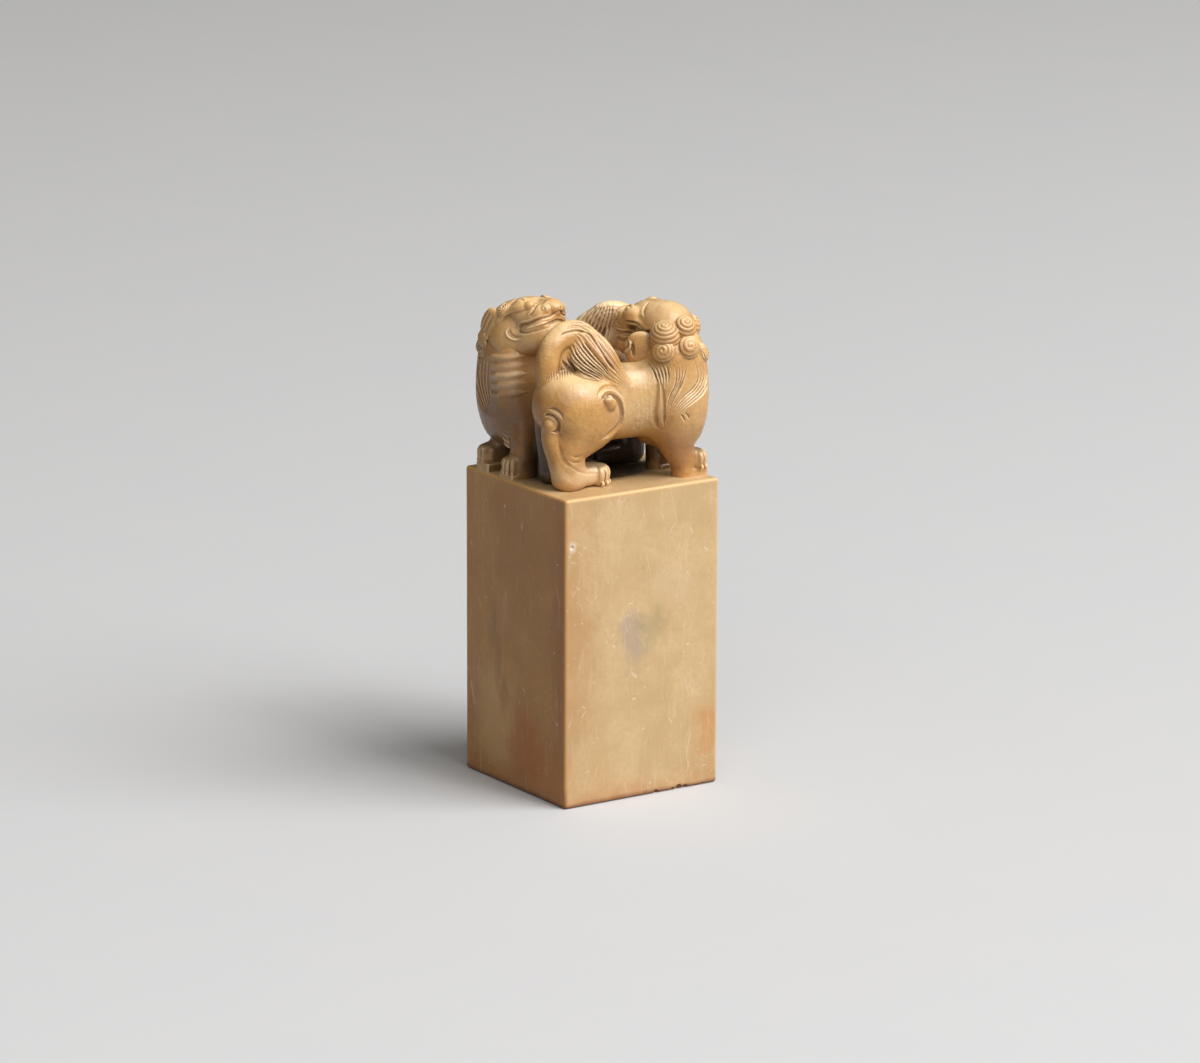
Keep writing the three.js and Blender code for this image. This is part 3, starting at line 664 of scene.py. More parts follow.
polishedLook = {
    "mottle": {"Light": (0.665, 0.470, 0.250), "Dark": (0.56, 0.375, 0.185), "Warm": (0.56, 0.27, 0.095),
               "Warm Amount": 0.35},
    # the tint for one face is painted shade on the side turned from the lamps
    "shadedSideTint": (0.83, 0.59, 0.315), "foot": (0.50, 0.20, 0.07), "footLine": (0.26, 0.085, 0.03),
    # the tint for proud edges is handling wear with a painted highlight
    "marks": (0.86, 0.74, 0.56), "wearAndPaintedHighlight": (0.84, 0.50, 0.20),
    "stainsAndPaintedLight": [
        ((-0.0018, -0.015, 0.0268), (1.5, 0.5, 0.8), 0.0056, 0.010, (0.40, 0.305, 0.245), 0.6),
        ((0.0020, -0.015, 0.0285), (1.3, 0.5, 1.0), 0.0052, 0.010, (0.38, 0.30, 0.15), 0.55),
        ((-0.0137, -0.0150, 0.0438), (1.0, 0.5, 0.8), 0.0011, 0.001, (0.95, 0.86, 0.70), 0.85),
        ((0.006, -0.008, 0.0517), (0.5, 1.0, 0.5), 0.0060, 0.006, (0.46, 0.28, 0.11), 0.5),
        ((-0.009, -0.0125, 0.0517), (0.6, 1.0, 0.5), 0.0048, 0.005, (0.48, 0.29, 0.12), 0.5),
        ((-0.006, 0.008, 0.0517), (0.5, 1.0, 0.5), 0.0060, 0.006, (0.46, 0.28, 0.11), 0.5),
        # painted shade on the block's top under both bellies
        ((0, 0, 0.0517), (0.54, 1.0, 0.5), 0.0085, 0.002, (0.045, 0.026, 0.012), 2.3),
        ((0.0062, -0.015, 0.0355), (0.8, 0.5, 0.9), 0.0042, 0.007, (0.70, 0.52, 0.34), 0.3),
        ((-0.015, -0.0135, 0.030), (0.5, 1.4, 0.16), 0.0058, 0.003, (0.44, 0.22, 0.08), 0.55),
        ((0.0134, -0.0145, 0.0095), (1.0, 0.6, 0.75), 0.0050, 0.008, (0.58, 0.24, 0.07), 0.45),
        ((-0.015, 0.0055, 0.0105), (0.5, 1.0, 0.55), 0.0085, 0.006, (0.80, 0.66, 0.47), 0.75),
        ((-0.015, -0.0030, 0.0085), (0.5, 0.85, 0.75), 0.0064, 0.010, (0.54, 0.20, 0.07), 0.55),
        ((-0.015, -0.0095, 0.0050), (0.5, 0.8, 0.9), 0.0058, 0.008, (0.58, 0.25, 0.09), 0.45),
        ((-0.015, 0.0068, 0.0265), (0.5, 2.6, 0.7), 0.0044, 0.007, (0.44, 0.29, 0.15), 0.6),
        ((-0.015, 0.0050, 0.0205), (0.5, 2.6, 0.7), 0.0044, 0.007, (0.44, 0.28, 0.14), 0.55),
        ((-0.015, 0.0032, 0.0155), (0.5, 2.2, 0.8), 0.0044, 0.007, (0.46, 0.26, 0.12), 0.5),
        ((-0.015, -0.002, 0.042), (0.5, 0.6, 0.6), 0.0085, 0.006, (0.50, 0.30, 0.13), 0.4),
        ((0.015, 0.004, 0.031), (0.5, 0.9, 0.5), 0.0080, 0.007, (0.42, 0.33, 0.21), 0.5),
        ((0.003, 0.015, 0.016), (0.8, 0.5, 0.6), 0.0090, 0.008, (0.58, 0.26, 0.10), 0.5),
        ((-0.007, 0.015, 0.038), (1.0, 0.5, 0.5), 0.0070, 0.006, (0.66, 0.50, 0.30), 0.5),
    ],
}


def polishedStone():
    material, tree, shader, place = newStone("polished_stone", 0.3, 0.10, 0.08, 0.28)
    look = polishedLook
    mottle = useGroup(tree, stoneMottle, place, look["mottle"])
    colour = tinted(tree, place, mottle.outputs["Color"], look["stainsAndPaintedLight"])
    split = put(tree, "ShaderNodeSeparateXYZ", {0: place}).outputs
    shadedSideTint = ramp(tree, times(tree, split["X"], -1.0), 0.0143, 0.0149)     # painted shade: one face is tinted browner and darker
    colour = mixColor(tree, times(tree, shadedSideTint, 0.95), colour, look["shadedSideTint"], "MULTIPLY")
    wavy = times(tree, noise(tree, place, 180.0, 4, 0.6), 0.008)
    foot = ramp(tree, plus(tree, split["Z"], wavy), 0.003, 0.0095)
    line = ramp(tree, plus(tree, split["Z"], times(tree, wavy, 0.12)), 0.0008, 0.0016)
    colour = layered(tree, colour, [
        (flipped(tree, foot), 0.55, look["foot"]),
        (flipped(tree, line), 0.7, look["footLine"])])
    marks = mathNode(tree, "MAXIMUM", scratches(tree, place, 85.0, 0.7), scratches(tree, place, 38.0, 0.55))
    pits = ramp(tree, noise(tree, place, 1300.0, 2, 0.6), 0.72, 0.76)
    marks = mathNode(tree, "MAXIMUM", marks, times(tree, pits, 0.6))
    colour = mixColor(tree, marks, colour, look["marks"])
    proud = put(tree, "ShaderNodeAttribute", attribute_name="proud").outputs["Fac"]
    # the block's edges are paler from handling wear and a painted highlight, except near its foot
    colour = layered(tree, colour, [(proud, times(tree, ramp(tree, split["Z"], 0.001, 0.004), 0.65), look["wearAndPaintedHighlight"])])
    rough = plus(tree, 0.26, times(tree, noise(tree, place, 210.0, 4, 0.6), 0.2))
    rough = plus(tree, rough, times(tree, marks, 0.3))
    depth = mathNode(tree, "SUBTRACT", times(tree, mottle.outputs["Height"], 0.3), marks)
    finishStone(tree, shader, colour, rough, depth, 0.15, 0.00008)
    return material


pasteLook = {
    "mottle": {"Light": (0.56, 0.36, 0.18), "Dark": (0.42, 0.24, 0.11), "Warm": (0.45, 0.12, 0.05), "Warm Amount": 0.6},
    "paste": (0.33, 0.030, 0.018),
}


def pasteStainedStone():
    material, tree, shader, place = newStone("paste_stained_stone", 0.6, 0.05, 0.0, 0.5)
    mottle = useGroup(tree, stoneMottle, place, pasteLook["mottle"])
    wet = ramp(tree, noise(tree, place, 320.0, 5, 0.65, 0.4), 0.36, 0.62)
    colour = layered(tree, mottle.outputs["Color"], [(wet, 0.8, pasteLook["paste"])])
    rough = plus(tree, 0.42, times(tree, wet, 0.25))
    finishStone(tree, shader, colour, rough, mottle.outputs["Height"], 0.3, 0.0001)
    return material


carved, polished, pasteStained = carvedStone(), polishedStone(), pasteStainedStone()
print("stones mixed")

# lion body: everything of a lion below its head, mm
bodySpec = {
    "low": (-15.4, -15.4, -0.6), "high": (15.4, 2.2, 28.6),
    "keepLow": (-14.9, -14.9, -0.4), "keepHigh": (14.9, 2.0, 28.4),     # the carving ends at these
    "torso": [(-11.0, -5.6, 13.8, 3.6, 4.6), (-8.0, -5.9, 13.4, 4.5, 5.8), (-3.0, -6.5, 13.1, 4.5, 6.2),
              (1.5, -7.0, 13.1, 4.4, 6.2), (6.0, -7.7, 13.3, 4.9, 6.3), (9.5, -8.2, 13.5, 5.2, 6.2)],
    "chest": [(9.9, -8.1, 7.4, 3.6, 3.2), (9.9, -8.4, 9.6, 5.2, 4.4), (9.9, -8.5, 13.0, 5.75, 5.0),
              (9.9, -8.4, 17.0, 5.75, 5.0), (9.8, -8.2, 19.6, 5.3, 4.7), (9.6, -7.6, 21.6, 4.0, 3.7),
              (9.5, -7.2, 24.0, 2.8, 2.8)],
    "tail": [(-10.2, -5.3, 13.6, 2.2, 2.2), (-11.7, -5.0, 17.2, 2.0, 2.0), (-11.9, -4.8, 20.0, 1.95, 1.9),
             (-11.0, -4.6, 22.7, 1.95, 1.8), (-8.9, -4.5, 24.3, 2.2, 1.7), (-6.6, -5.2, 24.4, 2.7, 1.5),
             (-5.6, -7.2, 22.3, 3.4, 1.4), (-4.4, -8.6, 20.2, 3.4, 1.4), (-2.6, -9.2, 18.3, 2.6, 1.2),
             (0.2, -10.2, 16.0, 0.8, 0.8)],
    "outerForeleg": [(8.0, -9.9, 12.0, 2.8, 3.2), (9.0, -10.4, 8.0, 2.5, 3.2), (9.6, -10.5, 4.8, 2.1, 2.4),
                     (10.6, -10.4, 2.2, 1.8, 1.75), (10.8, -10.3, 0.2, 1.8, 1.65)],
    "innerForeleg": [(10.4, -4.6, 11.5, 2.5, 2.7), (10.9, -3.6, 8.0, 2.1, 2.4), (11.2, -3.1, 4.5, 1.95, 2.3),
                     (11.3, -3.1, 0.2, 1.95, 2.3)],
    "outerShin": [(-6.9, -9.4, 10.2, 2.7, 4.2), (-8.5, -9.3, 8.4, 2.4, 3.3), (-9.8, -9.2, 6.8, 2.1, 2.5),
                  (-10.1, -9.1, 5.2, 2.0, 2.3), (-9.9, -9.0, 3.4, 1.9, 2.3), (-9.7, -9.0, 1.8, 1.9, 2.4)],
    "outerHock": [(-12.8, -7.3, 10.8, 1.6, 1.55), (-12.7, -7.5, 8.2, 1.65, 1.7), (-12.0, -8.0, 5.2, 1.65, 1.65),
                  (-11.2, -8.5, 2.6, 1.8, 1.65), (-10.4, -8.8, 1.2, 2.0, 1.4)],
    "innerShin": [(-5.6, -3.4, 9.8, 2.2, 4.0), (-7.6, -3.2, 7.4, 1.9, 3.0), (-8.8, -3.1, 4.8, 1.7, 2.2),
                  (-8.8, -3.1, 1.6, 1.8, 2.2)],
    "innerHock": [(-11.0, -2.6, 10.6, 1.5, 1.7), (-10.7, -2.7, 7.9, 1.5, 1.8), (-10.5, -2.9, 5.0, 1.5, 1.7),
                  (-10.3, -3.1, 2.4, 1.7, 1.7), (-9.6, -3.2, 1.2, 1.8, 1.5)],
    "bosses": [(3.0, 10.7, 1.3), (2.6, 11.4, 0.9)],     # p and q in the outer view, radius
    "tufts": [(12.9, -4.9, 7.1), (13.0, -4.8, 6.3), (12.9, -4.7, 5.5)],
    "curls": [(11.6, 19.3, 1.9, 1), (15.7, 20.1, 2.0, -1), (17.9, 19.9, 0.95, 1)],     # p, q, radius, hand
    "sideCurls": [(-52, 20.6, 1.3, -1)],     # angle round the chest, height, radius, hand
    "chestSpirals": [(-11.3, 19.6, 1.4, 1)],     # y, z, radius, hand
    "haunch": [((-6.8, -8.6, 12.2), (6.3, 3.8, 5.9), 18, 1.3), ((-10.0, -6.8, 13.4), (3.6, 3.6, 5.0), 0, 1.5),
               ((-6.0, -3.6, 12.0), (5.3, 2.5, 5.5), 18, 1.2)],     # centre, radii, tip, blend
    "legSwells": [((-11.2, -8.6, 5.8), (2.1, 1.8, 4.2), 12, 0.9), ((-13.1, -7.9, 10.6), (1.5, 1.35, 1.6), 0, 0.3),
                  ((7.4, -5.4, 7.4), (2.2, 2.6, 2.6), 0, 0.9)],
    # heel, ball, aim, width, height, fan, and for the forefeet a plinth and its height
    "paws": [((11.4, -10.3), (12.8, -10.4), -38, 4.1, 3.5, 27, ((9.9, -12.0, -0.5), (14.85, -8.4, 1.35)), 1.0),
             ((11.2, -3.4), (12.6, -3.4), 0, 4.0, 3.3, 27, ((10.3, -5.3, -0.5), (14.7, -1.4, 0.8)), 0.5),
             ((-11.0, -8.2), (-4.9, -7.6), -48, 4.9, 3.7, 25), ((-10.4, -3.1), (-3.4, -3.2), 15, 4.2, 3.2, 26)],
}


def lionBody():
    spec = bodySpec
    clay = newClay(spec["low"], spec["high"], seal["grain"])
    limb(clay, spec["torso"], (0, 0, 1), 0.5, 2.2)
    limb(clay, spec["chest"], (1, 0, 0), 2.0, 3.2)
    for at, radii, tip, blend in spec["haunch"]:
        egg(clay, at, radii, (0, tip, 0), blend)
    for name in ("outerForeleg", "innerForeleg", "outerShin", "innerShin"):
        limb(clay, spec[name], (1, 0, 0), 1.0, 2.3)
    for name in ("outerHock", "innerHock"):
        limb(clay, spec[name], (1, 0, 0), 0.35, 2.2)
    for at, radii, tip, blend in spec["legSwells"]:
        egg(clay, at, radii, (0, tip, 0), blend)
    for row in spec["paws"]:
        paw(clay, *row)
    egg(clay, (-8.6, -4.9, 20.3), (2.9, 1.3, 3.6), blend=0.4)     # stone left under the arch of the tail
    limb(clay, spec["tail"], (-0.5, -0.8, 0.3), 0.35, 2.2, 6, {"count": 9, "depth": 0.12, "from": 0.45})
    for p, q, size in spec["bosses"]:
        at, way = touch(clay, outerView, p, q)
        egg(clay, at - way * size * 0.35, (size, size, size), blend=0.3)
    for at in spec["tufts"]:
        egg(clay, at, (1.0, 1.15, 0.42), (-32, 20, 0), 0.1)
    for p, q, radius, hand in spec["curls"]:
        at, way = touch(clay, outerView, p, q)
        curl(clay, at - way * 0.25, unit(way + outerView["toward"] * 0.5), radius, radius * 0.7, 3.6, 0.18, hand)
    for angle, lift, radius, hand in spec["sideCurls"]:
        view = roundView(angle)
        at, way = touch(clay, view, np.dot(view["across"], (9.8, -8.2, 0)), lift)
        curl(clay, at - way * 0.25, way, radius, radius * 0.62, 3.4, 0.17, hand)
    keepInside(clay, spec["keepLow"], spec["keepHigh"])
    return clay


bodyStrokes = {
    # seen from the lion's outer side, mm in the plane of the view
    "outer": {
        "ribbonGroove": [(-5.2, 21.6), (-4.4, 22.1), (-2.6, 22.5), (-0.6, 22.1), (0.5, 20.7), (1.8, 18.8),
                         (3.0, 17.0), (4.1, 15.8)],
        "ribbonLow": [(-5.9, 21.8), (-4.4, 22.7), (-2.6, 23.1), (-0.6, 22.6), (0.9, 21.1), (2.2, 18.9), (3.4, 17.1),
                      (4.4, 15.3)],
        "ribbonHigh": [(-5.0, 23.6), (-2.6, 24.3), (-0.6, 23.8), (1.2, 22.4), (2.3, 20.7), (3.5, 18.8), (4.8, 17.0)],
        "tuftHigh": [(-1.6, 21.2), (-0.6, 19.9), (0.7, 18.3), (2.2, 16.6), (3.5, 14.7)],
        "tuftLow": [(-4.1, 18.8), (-3.7, 17.6), (-2.8, 16.6), (-1.3, 15.6), (0.7, 14.8), (2.0, 14.2)],
        "tuftEdge": [(-4.9, 18.1), (-4.3, 17.1), (-3.1, 16.1), (-1.3, 15.2), (0.4, 14.8), (1.8, 14.2)],
        "hairStart": [(-7.0, 15.2), (-6.4, 16.3), (-5.4, 17.1), (-4.5, 17.2), (-3.6, 16.3)],
        "hairEnd": [(-7.7, 14.2), (-6.4, 13.9), (-5.2, 13.9), (-4.1, 14.2), (-2.6, 15.0)],
        "swirl": [(1.9, 10.7), (1.9, 11.6), (2.5, 12.0), (3.5, 11.9), (4.3, 11.2), (4.7, 10.2), (4.9, 9.1), (4.8, 7.9),
                  (4.0, 6.8), (2.7, 5.7), (1.2, 4.8)],
        "swirlOuter": [(0.9, 11.4), (1.2, 12.5), (2.2, 13.4), (3.5, 13.4), (4.6, 12.5), (5.3, 11.2)],
        "swirlRim": [(1.4, 11.5), (1.9, 12.5), (2.8, 12.9), (3.9, 12.5), (4.8, 11.6), (5.2, 10.3), (5.3, 9.0),
                     (5.0, 7.6)],
        "hockInner": [(-7.8, 8.6), (-7.0, 8.9), (-6.0, 8.4), (-5.4, 7.5), (-5.5, 6.3), (-6.7, 6.2)],
        "hockOuter": [(-7.3, 9.8), (-6.2, 9.8), (-5.0, 9.0), (-4.5, 7.9)],
        "shank": [(-5.2, 5.7), (-5.3, 4.0), (-5.0, 2.4), (-4.3, 1.2), (-3.2, 0.4), (-1.9, -0.1)],
        "ankleHigh": [(-3.6, 2.5), (-2.4, 2.1), (-1.1, 2.7)],
        "ankleLow": [(-3.9, 1.7), (-2.6, 1.2), (-1.1, 1.7)],
        "foot": [(-3.2, 0.4), (-1.9, -0.3), (-0.3, -0.5), (1.4, -0.4)],
        "shoulderBack": [(9.8, 16.7), (10.6, 14.2), (10.4, 11.4), (10.2, 9.1), (10.6, 7.3), (11.5, 6.7)],
        "shoulderFront": [(10.9, 15.1), (11.5, 13.1), (11.7, 10.5), (11.7, 8.2), (11.8, 6.9)],
        "maneBackFirst": [(9.1, 17.5), (10.0, 16.2), (10.6, 14.5), (10.9, 13.1)],
        "maneBackLast": [(11.6, 18.0), (12.3, 16.4), (12.5, 14.9), (12.3, 13.2)],
        "maneMidFirst": [(12.9, 17.5), (13.7, 16.0), (13.6, 13.8), (12.8, 12.2), (12.3, 10.5), (11.9, 8.9)],
        "maneMidLast": [(14.9, 18.2), (15.3, 16.4), (14.7, 14.2), (13.8, 12.5), (13.0, 10.9), (12.7, 9.6)],
        "maneFrontFirst": [(16.4, 18.4), (17.1, 16.7), (17.3, 14.9), (16.4, 13.3), (14.9, 12.0), (13.5, 10.4),
                           (13.1, 9.3)],
        "maneFrontLast": [(18.8, 19.3), (19.3, 17.1), (19.1, 14.7), (18.1, 12.6), (16.3, 11.0), (14.6, 9.7),
                          (13.7, 8.8)],
        "elbowHigh": [(14.4, 9.3), (14.9, 8.6), (15.3, 7.8)],
        "elbowLow": [(15.1, 9.6), (15.7, 8.9), (15.9, 8.2)],
    },
    # width, depth and taper of the strokes that stand alone
    "outerCuts": {
        "ribbonGroove": (0.3, 0.28, 0.12), "tuftEdge": (0.5, 0.3, 0.2), "swirl": (0.5, 0.42, 0.1),
        "swirlOuter": (0.55, 0.2, 0.3), "hockInner": (0.42, 0.38, 0.15), "hockOuter": (0.5, 0.25, 0.3),
        "shank": (0.6, 0.13, 0.3), "ankleHigh": (0.35, 0.13, 0.4), "ankleLow": (0.35, 0.13, 0.4),
        "foot": (0.4, 0.1, 0.3), "shoulderBack": (0.7, 0.3, 0.3), "shoulderFront": (0.5, 0.26, 0.3),
        "elbowHigh": (0.28, 0.2, 0.3), "elbowLow": (0.28, 0.2, 0.3),
    },
    # seen from its inner side and front
    "inner": {
        "throatRidge": [[(-17.4, q + 0.5), (-15.6, q + 0.05), (-13.4, q), (-10.4, q + 0.5)]
                        for q in (18.4, 16.9, 15.4, 13.9, 12.4)],
        "plumeFirst": [(0.6, 27.2), (-0.7, 26.3), (-1.7, 24.8), (-2.3, 23.0)],
        "plumeLast": [(3.4, 27.2), (3.3, 25.5), (2.9, 23.5), (2.4, 21.5)],
        "maneFirst": [(-18.7, 19.5), (-19.2, 16.7), (-18.9, 14.2), (-18.1, 11.4), (-17.1, 9.3)],
        "maneLast": [(-16.6, 19.3), (-16.9, 16.7), (-17.0, 14.2), (-16.8, 12.4), (-16.6, 10.7)],
    },
}


def carveBody(mesh):
    o = bodyStrokes["outer"]
    jobs = [(o[name], *cut) for name, cut in bodyStrokes["outerCuts"].items()]
    jobs += [(p, 0.16, 0.12, 0.25) for p in between(o["ribbonLow"], o["ribbonHigh"], 5)]
    jobs += [(p, 0.22, 0.30, 0.2) for p in between(o["tuftHigh"], o["tuftLow"], 8)]
    hairs = list(zip(smoothPath(o["hairStart"], 5), smoothPath(o["hairEnd"], 5)))
    jobs += [([a, (a + b) / 2 + (0.12, 0.1), b], 0.22, 0.11, 0.45) for a, b in hairs[::2]]
    for lock, count, depth in (("maneBack", 5, 0.32), ("maneMid", 4, 0.32), ("maneFront", 5, 0.36)):
        jobs += [(p, 0.25, depth * (0.85 if i % 3 else 1.2), 0.5)
                 for i, p in enumerate(between(o[lock + "First"], o[lock + "Last"], count))]
    jobs.append((o["swirlRim"], 0.5, -0.22, 0.3))     # raised, so it comes after the cuts
    chisel(mesh, outerView, jobs, [past(1, 3.0, sign=-1)])
    n = bodyStrokes["inner"]
    jobs = [(p, 0.75, -tall, 0.14) for p, tall in zip(n["throatRidge"], (0.30, 0.18, 0.27, 0.16, 0.2))]
    jobs += [(p, 0.2, 0.24, 0.2) for p in between(n["maneFirst"], n["maneLast"], 5)]
    chisel(mesh, innerView, jobs, [past(0, 7.0)])
    jobs = [(p, 0.26, 0.24, 0.15) for p in between(n["plumeFirst"], n["plumeLast"], 8)]
    chisel(mesh, innerView, jobs, [past(2, 19.5), lambda co: co[:, 0] < 2])
    jobs = []
    for y, z, radius, hand in bodySpec["chestSpirals"]:
        turn = np.linspace(0.6, 2 * math.pi * 2.4, 44)
        wide = radius * (turn / turn[-1]) ** 0.8
        jobs.append((np.stack([y + hand * wide * np.sin(turn), z + wide * np.cos(turn)], 1), 0.24, 0.26, 0.05))
    chisel(mesh, roundView(0), jobs, [past(0, 12.0)])
    side = roundView(-30)
    mid = np.dot(side["across"], (9.9, -8.4, 0))
    jobs = []
    for shift in (-4.2, -1.9, 0.4, 2.7):     # four locks of four hairs
        for i in range(4):
            x = mid + shift + i * 0.5
            hair = [(x, 17.6), (x + 0.5, 15.9), (x + 0.2, 13.6), (x - 0.9, 11.2), (x - 1.6 + i * 0.2, 9.6)]
            jobs.append((hair, 0.2, 0.24 if i else 0.34, 0.2))
    chisel(mesh, side, jobs, [past(0, 10.0, 0.8)], (outerView, innerView))


bodyClay = lionBody()
report("body clay", bodyClay["d"].shape)


# the two halves of a body overlap by a little where the flank is smooth
def makeHalf(name, first, last):
    part = dict(bodyClay, d=bodyClay["d"].copy())
    keepInside(part, (first, *bodySpec["keepLow"][1:]), (last, *bodySpec["keepHigh"][1:]))
    mesh = meshFromClay(part, name)
    carveBody(mesh)
    mesh = thinned(mesh, seal["mostTriangles"])
    markHollows(mesh, bodyClay)
    report(name, "carved,", len(mesh.polygons), "faces")
    return mesh


foreMesh, hindMesh = makeHalf("lion_forequarters", 2.9, 14.9), makeHalf("lion_hindquarters", -14.9, 3.3)


# head: x to the nose, y to its left, z up, from midway between the ears
headSpec = {
    "low": (-9.4, -8.4, -7.4), "high": (11.0, 8.4, 7.4), "keepLow": (-9.2, -8.2, -7.2), "keepHigh": (10.8, 8.2, 7.2),
    "at": (9.5, -6.7, 23.2), "barHalf": 14.95,
    # strokes on the side of the face are x, z and on its front y, z
    "mouthTop": [(3.1, -0.1), (3.45, 0.25), (4.2, 0.3), (5.4, 0.12), (7.0, 0.2), (8.7, 0.45)],
    "mouthLow": [(3.1, 0.0), (3.15, -0.3), (3.6, -0.65), (4.6, -1.05), (6.1, -1.2), (7.6, -1.15), (8.8, -0.95)],
    "lipRoll": [(4.0, -0.3), (5.4, -0.5), (7.0, -0.5), (8.4, -0.3)],
    "lipTop": [(2.7, 0.3), (3.2, 0.75), (4.2, 0.85), (5.4, 0.65), (7.0, 0.75), (8.2, 0.95)],
    "cheekFold": [(6.9, 3.3), (7.05, 2.6), (6.8, 1.9), (6.3, 1.45), (5.4, 1.25)],
    "lipBack": [(1.45, 0.7), (1.05, 0.05), (1.2, -0.75), (2.0, -1.5), (3.5, -1.95)],
    "lipOuter": [(1.9, 0.7), (1.55, 0.05), (1.7, -0.6), (2.4, -1.15), (3.7, -1.5)],
    "browLow": [(0.2, 1.8), (1.6, 2.25), (3.2, 2.45), (4.8, 2.35), (6.4, 2.5)],
    "browBack": [(2.3, 5.8), (2.0, 5.0), (1.5, 4.2), (0.8, 3.6)],
    "jawBack": [(-4.0, 0.6), (-3.4, -0.8), (-2.5, -2.0), (-1.2, -2.7)],
    "frontLow": [(-3.9, -0.95), (-2.4, -0.8), (0, -0.35), (2.4, -0.8), (3.9, -0.95)],
    "frontHigh": [(-3.9, 0.35), (-2.0, 0.35), (0, 0.85), (2.0, 0.35), (3.9, 0.35)],
    "frontMid": [(0, 1.9), (0, 1.4), (0, 0.8)],
    # width, depth and taper of each stroke
    "sideCuts": {"mouthTop": (0.34, 0.24, 0.08), "mouthLow": (0.36, 0.26, 0.08), "lipRoll": (0.4, -0.26, 0.2),
                 "lipOuter": (0.4, 0.22, 0.25), "lipTop": (0.36, -0.17, 0.2), "cheekFold": (0.4, 0.26, 0.25),
                 "lipBack": (0.4, -0.24, 0.25), "browLow": (0.45, 0.2, 0.3), "browBack": (0.4, 0.25, 0.3),
                 "jawBack": (0.7, 0.5, 0.3)},
    "frontCuts": {"frontLow": (0.34, 0.34, 0.05), "frontHigh": (0.3, 0.3, 0.05), "frontMid": (0.3, 0.25, 0.3)},
}
# each lion holds its head its own way; curls are centre, way, radius, height and hand
heads = {
    "front": {"turn": (-5, -2, 107), "ear": (0.4, 5.4, -1.5), "radii": (2.6, 1.1, 3.3),
              "tip": 4, "yaw": 42, "slot": (1.3, 0.8),
              "brow": [(-0.2, 4.0, 1.6, 0.4, 0.45), (2.1, 3.8, 2.3, 0.55, 0.5), (4.6, 3.6, 2.4, 0.55, 0.5),
                       (6.6, 3.1, 2.3, 0.4, 0.45)],
              "snout": [],
              "curls": [((-3.0, 3.3, 0.6), (-0.22, 0.34, 0.91), 2.6, 3.0, 1),
                        ((-2.4, -3.5, 0.6), (-0.22, -0.42, 0.86), 2.0, 2.2, -1),
                        ((-4.6, 0.6, 1.8), (-0.55, 0.28, 0.78), 2.1, 2.2, 1)]},
    "rear": {"turn": (-5, -24, 107), "ear": (-2.4, 3.85, 2.6), "radii": (1.8, 0.9, 2.8),
             "tip": 55, "yaw": 0, "slot": None,
             "brow": [(0.0, 4.3, 2.5, 0.4, 0.5), (2.2, 4.1, 3.0, 0.6, 0.6), (4.6, 3.8, 3.1, 0.6, 0.6),
                      (6.2, 2.8, 2.9, 0.35, 0.45)],
             "snout": [((6.8, 0, 2.8), (1.6, 1.2, 1.1)), ((8.5, 0, 1.6), (1.3, 1.6, 1.1))],
             "curls": [((-4.6, 2.6, 0.6), (-0.70, 0.42, 0.56), 2.0, 1.9, 1),
                       ((-4.6, -2.6, 0.6), (-0.70, -0.42, 0.56), 2.0, 1.9, -1),
                       ((-4.4, 0.0, 3.2), (-0.62, 0.0, 0.78), 1.9, 1.7, 1),
                       ((1.1, 3.7, 3.6), (0.0, 0.8, 0.6), 1.35, 1.1, 1),
                       ((1.1, -3.7, 3.6), (0.0, -0.8, 0.6), 1.35, 1.1, -1)]},
}


def lionEar(clay, pose, side):
    ear = np.array(pose["ear"]) * (1, side, 1)
    lie = (side * -8, pose["tip"], side * pose["yaw"])
    lean = turned(lie)
    out = side * pose["radii"][1] * 0.95
    if pose["slot"]:     # a moat round the ear
        egg(clay, ear, np.array(pose["radii"]) + (0.45, 0.1, 0.45), lie, 0.2, True, 2.3)
    egg(clay, ear, pose["radii"], lie, 0.1, square=2.3)
    if pose["slot"]:
        slot = ear + lean @ np.array((pose["slot"][0], out, pose["slot"][1]))
        egg(clay, slot, (0.3, 0.6, pose["radii"][2] * 0.45), lie, 0.2, True)
        return
    for off in (-0.55, 0.35):     # two grooves along it
        a, b = (ear + lean @ np.array((off, out, go)) for go in (-1.9, 1.8))
        mid = a * 0.5 + b * 0.5 + (0, side * 0.15, 0)
        limb(clay, [(*a, 0.16, 0.3), (*mid, 0.2, 0.34), (*b, 0.16, 0.3)], (0, 1, 0), 0.15, cut=True)


